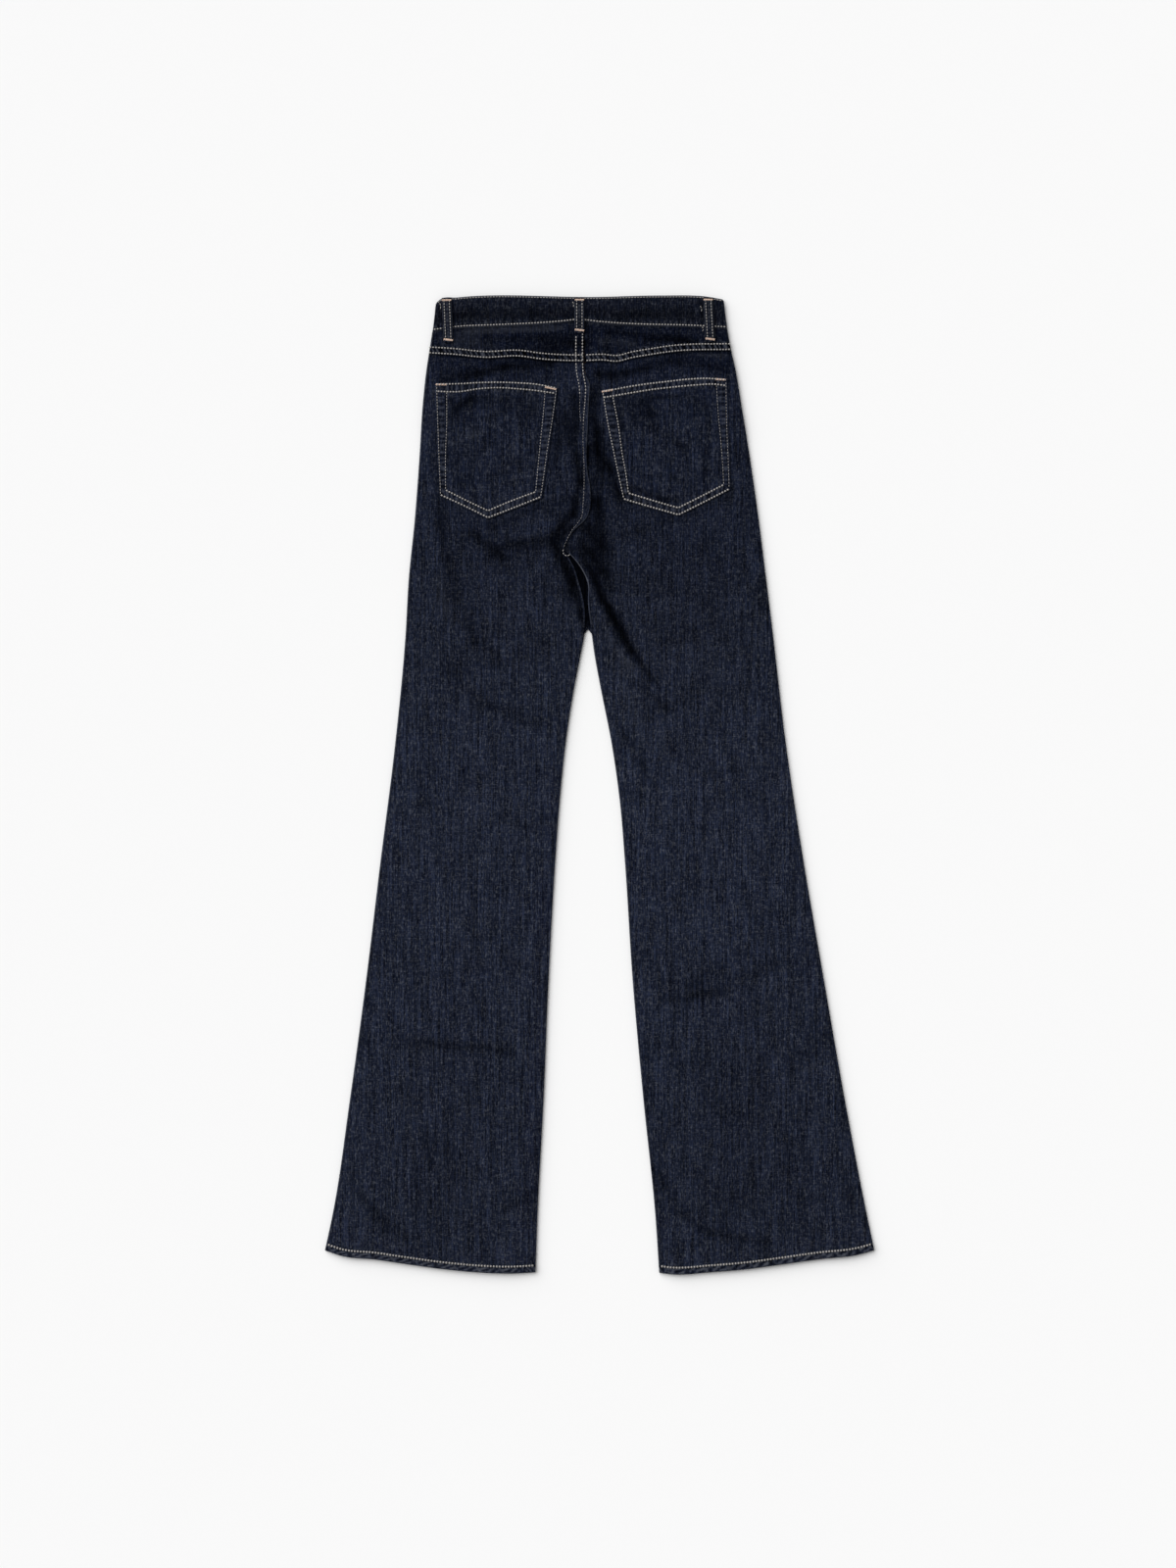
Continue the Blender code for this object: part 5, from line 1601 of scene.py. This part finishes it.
@dataclass
class Facing:
    """A pocket facing, inside the front panel behind the pocket mouth."""

    kit: Kit
    side: Side
    width: float = 66.0
    depth: float = 96.0

    def build(self) -> None:
        """Make the facing."""
        drape = self.kit.drape
        down, across = np.linspace(0, 1, 40)[:, None], np.linspace(0, 1, 30)[None, :]
        x = edge_x(OUTSEAMS, self.side, 505.0 - self.depth) + self.side.inward * self.width * across
        width = self.width * (0.55 + 0.45 * ease(down, 0.0, 0.8))
        for _ in range(4):
            head = drape.front_foot(x) - drape.gap
            y = head - self.depth + self.depth * down + 20.0 * across * (1 - down)
            x = edge_x(OUTSEAMS, self.side, y) + self.side.inward * width * across
        if self.side is Side.RIGHT:
            x, y = x[:, ::-1], y[:, ::-1]
        grid = stacked(x, y, drape.rest_edge)
        high = grid + np.array([0.0, 0.0, drape.cloth - drape.gap])
        piece = shell(f"pocket_facing_{self.side.value}", grid, high, self.kit.denim,
                      np.zeros(x.shape))
        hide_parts(f"facing_{self.side.value}")
        declare(piece, grid, [])


@dataclass
class Waistband:
    """One folded strip round the waist, its outer end over its inner end at the front."""

    kit: Kit
    loops: FrontLoopPlaces
    underlap: float = 36.0
    button_from_end: float = 13.0
    button_clearance: float = 10.5
    recess: float = 1.5
    fold_allowance: float = 1.5
    foot_row: float = 2.8
    top_row: float = 1.7
    foot_weight: float = 1.6
    foot_row_ends: tuple[float, float] = (-186.4, 141.8)
    top_row_ends: tuple[float, float] = (-181.6, 137.4)
    front_row_ends: tuple[tuple[float, float], ...] = ((-184.0, -22.0), (-17.5, 140.0))

    def button_place(self) -> Point:
        """Middle of the button."""
        drape = self.kit.drape
        x = drape.centre_x - self.button_from_end
        return Point(x, float(drape.front_foot(x)) + drape.band_height / 2)

    def relief(self, from_foot: Array, from_top: Array, along: Array) -> Array:
        """Grooves under the two stitch rows and uneven puckers above the lower one."""
        window = ease(from_foot, 1.2, 4.2) * (1 - ease(from_foot, 5.0, 13.0))
        return (0.24 * ripple(along, 5.6, 4.0) * window
                - 0.32 * bell(from_foot - self.foot_row, 0.8)
                - 0.26 * bell(from_top - self.top_row, 0.8)
                + 0.07 * ripple(along, 11.0, 1.0) * bell(from_top - 5.0, 4.0))

    def wear_and_shade(self, from_foot: Array, from_top: Array, along: Array) -> Array:
        """Tone: pale pucker tops, foot edge and top fold; painted shade in the groove and pucker
        hollows.
        """
        window = ease(from_foot, 2.4, 4.4) * (1 - ease(from_foot, 4.6, 12.0))
        wave = ripple(along, 5.6, 4.0)
        return (window * (0.34 * np.maximum(wave, 0) + 0.3 * np.minimum(wave, 0))
                - 0.3 * bell(from_foot - self.foot_row, 1.0) + 0.2 * bell(from_foot - 0.6, 0.7)
                + 0.5 * bell(from_top - 0.6, 0.9))

    def top(self, x: Array, y: Array) -> Array:
        """Outer side of the back of the band."""
        return self.kit.drape.band(x, y) + self.relief(y - line_y(WAIST_FOOT, x),
                                                       line_y(WAIST_TOP, x) - y, x)

    def under(self, x: Array, y: Array) -> Array:
        """Outer side of the front of the band, which faces the floor."""
        foot = self.kit.drape.front_foot(x)
        head = foot + self.kit.drape.band_height
        return self.loops.dent(x, y) - self.relief(y - foot, head - y, x)

    def path(self) -> tuple[Array, Array, Array, Array, float]:
        """The band's middle line seen from the waist, from its inner end round to its outer one.

        It lies level on the front, turns up about each side seam in a half circle and follows
        the drape over the back; the inner end is lifted on to the outer one.

        Returns:
            Share of the way across the waist, offset in x, height, how much each point belongs
            to the front, and the inset of the middle line from the side edges.
        """
        drape = self.kit.drape
        left, right = (float(edge_x(OUTSEAMS, side, drape.band_middle_y)) for side in Side)
        radius = (drape.band_wall + drape.gap) / 2
        flat = drape.band_wall / 2
        inset = flat + radius
        span = right - left - 2 * inset
        raised = flat + drape.band_wall + drape.gap
        centre = (drape.centre_x - left - inset) / span
        lapped = np.linspace(-self.underlap, 14.0, 40)
        around = np.radians(np.linspace(-90, 90, 15)[1:-1])
        turn, bulge = flat + radius + np.sin(around) * radius, np.cos(around) * radius
        level = ease(around, -1.5, 1.5)
        back = np.linspace(1, 0, 250)
        parts = (
            (centre + lapped / span, 0.0, raised + (flat - raised) * ease(lapped, 1.0, 11.0), 1.0),
            (np.linspace(centre + 15.0 / span, 1, 92), 0.0, flat, 1.0),
            (1.0, bulge, turn, 1 - level),
            (back, 0.0, drape.band_inside(left + inset + back * span) + flat, 0.0),
            (0.0, -bulge, turn[::-1], level),
            (np.linspace(0, centre - 0.4 * drape.gap / span, 108), 0.0, flat, 1.0),
        )
        rows = zip(*(np.broadcast_arrays(*part) for part in parts))
        return (*(np.concatenate(row) for row in rows), inset)

    def build(self) -> None:
        """Make the waistband with its stitching."""
        drape = self.kit.drape
        share, bulge, height, front, inset = self.path()
        foot_marks = np.array([0.0, 0.2, 0.5, 0.9, 1.4, 2.0, 2.6, 3.2, 3.8, 4.6, 5.6, 6.8, 8.2, 10])
        top_marks = np.array([0.0, 0.2, 0.5, 0.9, 1.3, 1.7, 2.2, 2.8, 4.0])
        up_share, up_added = (part[:, None] for part in spaced(foot_marks, top_marks, 8))
        y = np.full((len(up_share), len(share)), drape.band_middle_y)
        for _ in range(5):
            left = edge_x(OUTSEAMS, Side.LEFT, y) + inset
            right = edge_x(OUTSEAMS, Side.RIGHT, y) - inset
            x = left + (right - left) * share + bulge
            side_x = np.where(x < drape.centre_x, left - inset, right + inset)
            front_low = drape.front_foot(x)
            front_high = np.minimum(front_low + drape.band_height, line_y(WAIST_TOP, side_x))
            low = line_y(WAIST_FOOT, x) + drape.gap / 2
            low = low + (front_low - low) * front
            high = line_y(WAIST_TOP, x)
            high = high + (front_high - high) * front
            y = low + (high - low) * up_share + up_added
        lying = (front > 0.99) & (height < drape.band_wall)
        middle_z = height + np.where(lying, self.loops.dent(x, y), 0.0)
        run_x, run_z = np.gradient(x, axis=1), np.gradient(middle_z, axis=1)
        length = np.hypot(run_x, run_z)
        out_x, out_z = run_z / length, -run_x / length
        thin = 1 - edge_roll(np.minimum(y - low, high - y))
        half = drape.band_wall / 2 * thin
        place = self.button_place()
        from_button = np.hypot(x - place.x, y - place.y)
        sunk = self.recess * (1 - ease(from_button, 8.9, 10.2)) * lying
        thick = half + self.relief(y - low, high - y, x) * thin
        outer = stacked(x + out_x * thick, y, middle_z + out_z * thick + sunk)
        inner = stacked(x - out_x * half, y, middle_z - out_z * half)
        # The back of the band also takes the painted shade of the creases
        wear_and_shade = self.wear_and_shade(y - low, high - y, x) + drape.shade(x, y) * (front < 0.5)
        piece = shell("waistband_cloth", inner[:, ::-1], outer[:, ::-1], self.kit.denim,
                      wear_and_shade[:, ::-1])
        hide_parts("waistband")
        near_foot = 5
        strip = float(np.hypot(np.diff(x[near_foot]), np.diff(middle_z[near_foot])).sum())
        declare(piece, stacked(x, y, middle_z),
                [self.stitching()], flat=(strip, drape.band_height + self.fold_allowance))

    def stitching(self) -> bpy.types.Object:
        """Rows along the foot and the top, on the back and on the front."""
        drape = self.kit.drape
        stitches = StitchSet("topstitching_waistband", self.kit.threads)
        across = np.linspace(*self.foot_row_ends, 700)
        stitches.row(np.stack((across, line_y(WAIST_FOOT, across) + self.foot_row), axis=1),
                     self.top, weight=self.foot_weight)
        across = np.linspace(*self.top_row_ends, 700)
        stitches.row(np.stack((across, line_y(WAIST_TOP, across) - self.top_row), axis=1),
                     self.top)
        place = self.button_place()
        for ends in self.front_row_ends:
            across = np.linspace(*ends, 350)
            foot = drape.front_foot(across)
            for row in (foot + self.foot_row, foot + drape.band_height - self.top_row):
                clear = np.hypot(across - place.x, row - place.y) > self.button_clearance
                stitches.row(np.stack((across, row), axis=1)[clear], self.under, -1)
        return stitches.build()


@dataclass(frozen=True)
class LoopPlace:
    """A back belt loop: its middle at the top and the foot, how far down it reaches, its tacks."""

    name: str
    x_top: float
    x_foot: float
    y_foot: float
    loose_ends: tuple[tuple[Point, ...], ...] = ()


@dataclass
class BackLoop:
    """A back belt loop: a folded strip tacked at both ends and slightly arched between."""

    kit: Kit
    band: Waistband
    place: LoopPlace
    width: float = 11.0
    wall: float = 1.3
    arch: float = 1.1
    stitch_inset: float = 2.5

    @property
    def y_top(self) -> float:
        """Where the loop ends, just under the top of the waistband."""
        return float(line_y(WAIST_TOP, self.place.x_top)) - 0.8

    def middle(self, y: Array) -> Array:
        """The x of the loop's middle at y."""
        run = (y - self.place.y_foot) / (self.y_top - self.place.y_foot)
        return self.place.x_foot + (self.place.x_top - self.place.x_foot) * run

    def inside(self, x: Array, y: Array) -> Array:
        """Inner side: over the yoke, up the step on to the band, arched between the ends."""
        drape = self.kit.drape
        side = Side.LEFT if self.place.x_top < drape.centre_x + 5 else Side.RIGHT
        run = np.clip((y - self.place.y_foot) / (self.y_top - self.place.y_foot), 0, 1)
        foot = line_y(WAIST_FOOT, x)
        lapped = 0.8 if self.place.name == "belt_loop_centre" else 0.0
        yoke = drape.back(side, x, y) + lapped
        band = np.maximum(drape.band(x, y), yoke)
        under = yoke + (band - yoke) * ease(y, foot - 6.5, foot - 1.5)
        return under + drape.gap + 0.15 + self.arch * np.sin(math.pi * run) ** 0.7

    def top(self, x: Array, y: Array) -> Array:
        """Outer side: rounded at the sides, grooved under its two stitch rows."""
        off = np.abs(x - self.middle(y))
        grooves = bell(off - (self.width / 2 - self.stitch_inset), 0.7)
        tacks = bell(y - self.place.y_foot - 4.0, 3.0) + bell(self.y_top - y - 3.0, 1.6)
        round_off = edge_roll(self.width / 2 - off, 1.2)
        return (self.inside(x, y) + self.wall + 0.12 - 0.3 * grooves - 0.25 * tacks
                + 0.08 * ripple(y, 4.4, self.place.x_top) - 0.8 * round_off)

    def build(self) -> None:
        """Make the loop with its stitching and bar tacks."""
        rows = np.linspace(self.place.y_foot, self.y_top, 56)[:, None]
        across = np.array([0.0, 0.15, 0.4, 0.8, 1.3, 1.8, 2.3, 2.8, 3.4, 4.1, 4.8])
        across = np.concatenate((across, [5.5], 11.0 - across[::-1])) / 11.0 - 0.5
        y = np.repeat(rows, len(across), axis=1)
        x = self.middle(y) + across * self.width
        low = self.inside(x, y)
        ends = np.minimum(y - rows[0], rows[-1] - y)
        high = self.top(x, y) - 0.6 * edge_roll(ends, 1.2)
        off = np.abs(x - self.middle(y))
        # Pale edges and middle, painted shade in the grooves under the stitch rows
        wear_and_shade = (0.16 * bell(off - 5.0, 0.5) - 0.3 * bell(off - 3.0, 0.8)
               + 0.12 * bell(off, 1.5) * (1 + ripple(y, 4.4, self.place.x_top)))
        stitches = StitchSet(f"topstitching_{self.place.name[5:]}", self.kit.threads)
        line = np.linspace(self.place.y_foot + 2.0, self.y_top - 2.0, 160)
        for off_side in (-1, 1):
            inset = off_side * (self.width / 2 - self.stitch_inset)
            stitches.row(np.stack((self.middle(line) + inset, line), axis=1), self.top)
        foot, top = self.place.y_foot + 3.6, self.y_top - 2.6
        half = self.width / 2 - 0.4
        middle_foot, middle_top = float(self.middle(foot)), float(self.middle(top))
        stitches.tack(Point(middle_foot - half, foot + 0.6), Point(middle_foot + half, foot - 0.6),
                      self.top, 2.6)
        stitches.tack(Point(middle_top - half, top), Point(middle_top + half, top), self.top, 2.2)
        for end in self.place.loose_ends:
            stitches.row(run_through(end), self.band.top, weight=0.8)
        piece = shell(f"{self.place.name}_cloth", stacked(x, y, low), stacked(x, y, high),
                      self.kit.denim, wear_and_shade)
        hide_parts(self.place.name)
        declare(piece, stacked(x, y, low), [stitches.build()])


BACK_LOOPS = (
    LoopPlace("belt_loop_back_left", -171.6, -169.4, 495.8, loose_ends=(
        marks((-179.4, 541), (-178.2, 537.6), (-178.6, 533.8)),)),
    LoopPlace("belt_loop_centre", -22.6, -22.6, 506.6, loose_ends=(
        marks((-30.6, 542.6), (-29, 539.4), (-29.4, 535.6)),)),
    LoopPlace("belt_loop_back_right", 121.6, 124.2, 496.6, loose_ends=(
        marks((112.6, 537.8), (114.4, 534.6), (114, 530.6)),
        marks((114.6, 514.4), (116.4, 511.6), (115.2, 508.6)))),
)


@dataclass
class FrontLoop:
    """A front belt loop, flat on the floor in the dent of the cloth above it."""

    kit: Kit
    side: Side
    places: FrontLoopPlaces

    def build(self) -> None:
        """Make the loop with its stitching and bar tacks."""
        places, middle = self.places, self.places.middle(self.side)
        foot = float(self.kit.drape.front_foot(middle))
        low_y, high_y = foot - places.tail, foot + self.kit.drape.band_height - 0.8
        y, x = np.meshgrid(np.linspace(low_y, high_y, 40),
                           middle + np.linspace(-0.5, 0.5, 16) * places.width, indexing="ij")
        name = self.side.value
        edge = places.width / 2 - np.abs(x - middle)
        low = 0.25 * bell(edge - 2.5, 0.8) + 0.4 * edge_roll(edge, 1.2)
        stitches = StitchSet(f"topstitching_loop_front_{name}", self.kit.threads)
        line = np.linspace(low_y + 2, high_y - 2, 160)
        for inset in (-3.0, 3.0):
            stitches.row(np.stack((np.full(len(line), middle + inset), line), axis=1), self.flat, -1)
        for at in (low_y + 3.0, high_y - 2.4):
            stitches.tack(Point(middle - 5.0, at), Point(middle + 5.0, at), self.flat, 2.2, -1)
        piece = shell(f"belt_loop_front_{name}_cloth", stacked(x, y, low),
                      stacked(x, y, places.wall), self.kit.denim, np.zeros(x.shape))
        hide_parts(f"belt_loop_front_{name}")
        declare(piece, stacked(x, y, low), [stitches.build()])

    @staticmethod
    def flat(x: Array, y: Array) -> Array:
        """The floor side of the loop, a little above 0 in its grooves."""
        return np.full(np.broadcast(x, y).shape, 0.22)


# The button's profile from its face round to its back: radius and height over the floor
BUTTON_PROFILE = marks(
    (0, 0.45), (2.6, 0.42), (3, 0.32), (3.4, 0.42), (3.8, 0.5), (5.6, 0.5), (6.2, 0.3),
    (6.8, 0.08), (7.4, 0), (8, 0.02), (8.35, 0.14), (8.5, 0.35), (8.5, 0.85), (8.3, 1.2),
    (4, 1.2), (0, 1.2))


@dataclass
class Button:
    """A pressed shank button, face down: plain rings about a shallow dish."""

    kit: Kit
    place: Point
    segments: int = 64

    def build(self) -> None:
        """Turn the button's profile round its middle."""
        radii, heights = np.array(BUTTON_PROFILE).T
        turn = np.arange(self.segments) * 2 * math.pi / self.segments
        lathed = np.stack((self.place.x + radii[:, None] * np.cos(turn),
                           self.place.y + radii[:, None] * np.sin(turn),
                           np.repeat(heights[:, None], self.segments, axis=1)), axis=-1)
        ring = np.arange(len(radii) - 1)[:, None] * self.segments
        side = np.arange(self.segments)[None, :]
        beside = (side + 1) % self.segments
        quads = np.stack((ring + side, ring + self.segments + side,
                          ring + self.segments + beside, ring + beside), axis=-1).reshape(-1, 4)
        piece = mesh_piece("waist_button", lathed, quads.tolist(), [self.kit.brass])
        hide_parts("button")


@dataclass
class Zip:
    """The CAD zip, hidden between the layers: dark woven tape, brass chain and slider."""

    kit: Kit
    tape: SpunYarn = SpunYarn("navy cotton zip tape", "#121727", "#0a0d18")
    tape_top: float = 2.15

    def dress(self) -> None:
        """Give each face its finish: whatever stands above the tape is brass."""
        node = bpy.data.objects["zip"]
        node.data.materials.clear()
        for material in (self.tape.build(), self.kit.brass):
            node.data.materials.append(material)
        heights = np.empty((len(node.data.polygons), 3))
        node.data.polygons.foreach_get("center", heights.ravel())
        above = heights[:, 2] > self.tape_top * MM
        node.data.polygons.foreach_set("material_index", above.astype(np.int32))


@dataclass
class Studio:
    """Pale floor, even soft light with a broad key from the upper left, camera straight above."""

    photo_height: float = 1.76
    camera_height: float = 6.0
    sensor: float = 36.0
    aim: Point = Point(-0.013, 0.0014)
    floor_tone: str = "#f4f4f4"
    ambient: float = 0.34
    key: float = 3.72
    key_width: float = 70.0
    key_tilt: float = 53.0
    key_turn: float = 48.0

    def build(self) -> None:
        """Place floor, light and camera."""
        material, tree, output = empty_material("matt studio paper")
        shader = add_node(tree, "ShaderNodeBsdfDiffuse",
                          {"Color": socket_colour(self.floor_tone)})
        tree.links.new(shader.outputs["BSDF"], output.inputs["Surface"])
        mesh = bpy.data.meshes.new("studio_floor")
        corners = [(-6, -6, -0.0009), (6, -6, -0.0009), (6, 6, -0.0009), (-6, 6, -0.0009)]
        mesh.from_pydata(corners, [], [(0, 1, 2, 3)])
        mesh.materials.append(material)
        floor = bpy.data.objects.new("studio_floor", mesh)
        bpy.context.scene.collection.objects.link(floor)
        world = bpy.data.worlds.new("even studio light")
        world.use_nodes = True
        world.node_tree.nodes["Background"].inputs["Color"].default_value = (1, 1, 1, 1)
        world.node_tree.nodes["Background"].inputs["Strength"].default_value = self.ambient
        bpy.context.scene.world = world
        sun = bpy.data.lights.new("broad key", "SUN")
        sun.energy = self.key
        sun.angle = math.radians(self.key_width)
        lamp = bpy.data.objects.new("broad key", sun)
        tilt, turn = math.radians(self.key_tilt), math.radians(self.key_turn)
        lamp.rotation_euler = Euler((tilt, 0.0, turn + math.pi), "XYZ")
        lamp.location = (-2.0, 2.5, 4.0)
        bpy.context.scene.collection.objects.link(lamp)
        lens = bpy.data.cameras.new("photo camera")
        lens.sensor_fit = "VERTICAL"
        lens.sensor_height = self.sensor
        lens.lens = self.sensor * self.camera_height / self.photo_height
        camera = bpy.data.objects.new("photo camera", lens)
        camera.location = (self.aim.x, self.aim.y, self.camera_height)
        bpy.context.scene.collection.objects.link(camera)
        bpy.context.scene.camera = camera
        bpy.context.scene.view_settings.view_transform = "Standard"


def main() -> None:
    """Build the jeans from the floor up, then the studio."""
    logging.basicConfig(level=logging.INFO, format="%(message)s")
    topstitch = SpunYarn("grey-beige topstitching thread", "#a9a5a1", "#7c7a79")
    tack = SpunYarn("tan bar tack thread", "#d8bfae", "#a98f7e")
    kit = Kit(Drape(), RinsedDenim().build(), [topstitch.build(), tack.build()],
              AgedBrass().build())
    loops = FrontLoopPlaces(kit.drape)
    for side in Side:
        FrontHalf(kit, side, loops).build()
        Facing(kit, side).build()
    halves = [BackHalf(kit, side) for side in Side]
    for half in halves:
        half.build_leg()
        half.build_yoke()
    for pattern in POCKETS:
        BackPocket(kit, pattern).build()
    band = Waistband(kit, loops)
    band.build()
    for place in BACK_LOOPS:
        BackLoop(kit, band, place).build()
    for side in Side:
        FrontLoop(kit, side, loops).build()
    Button(kit, band.button_place()).build()
    Zip(kit).dress()
    Studio().build()


if __name__ == "__main__":
    main()
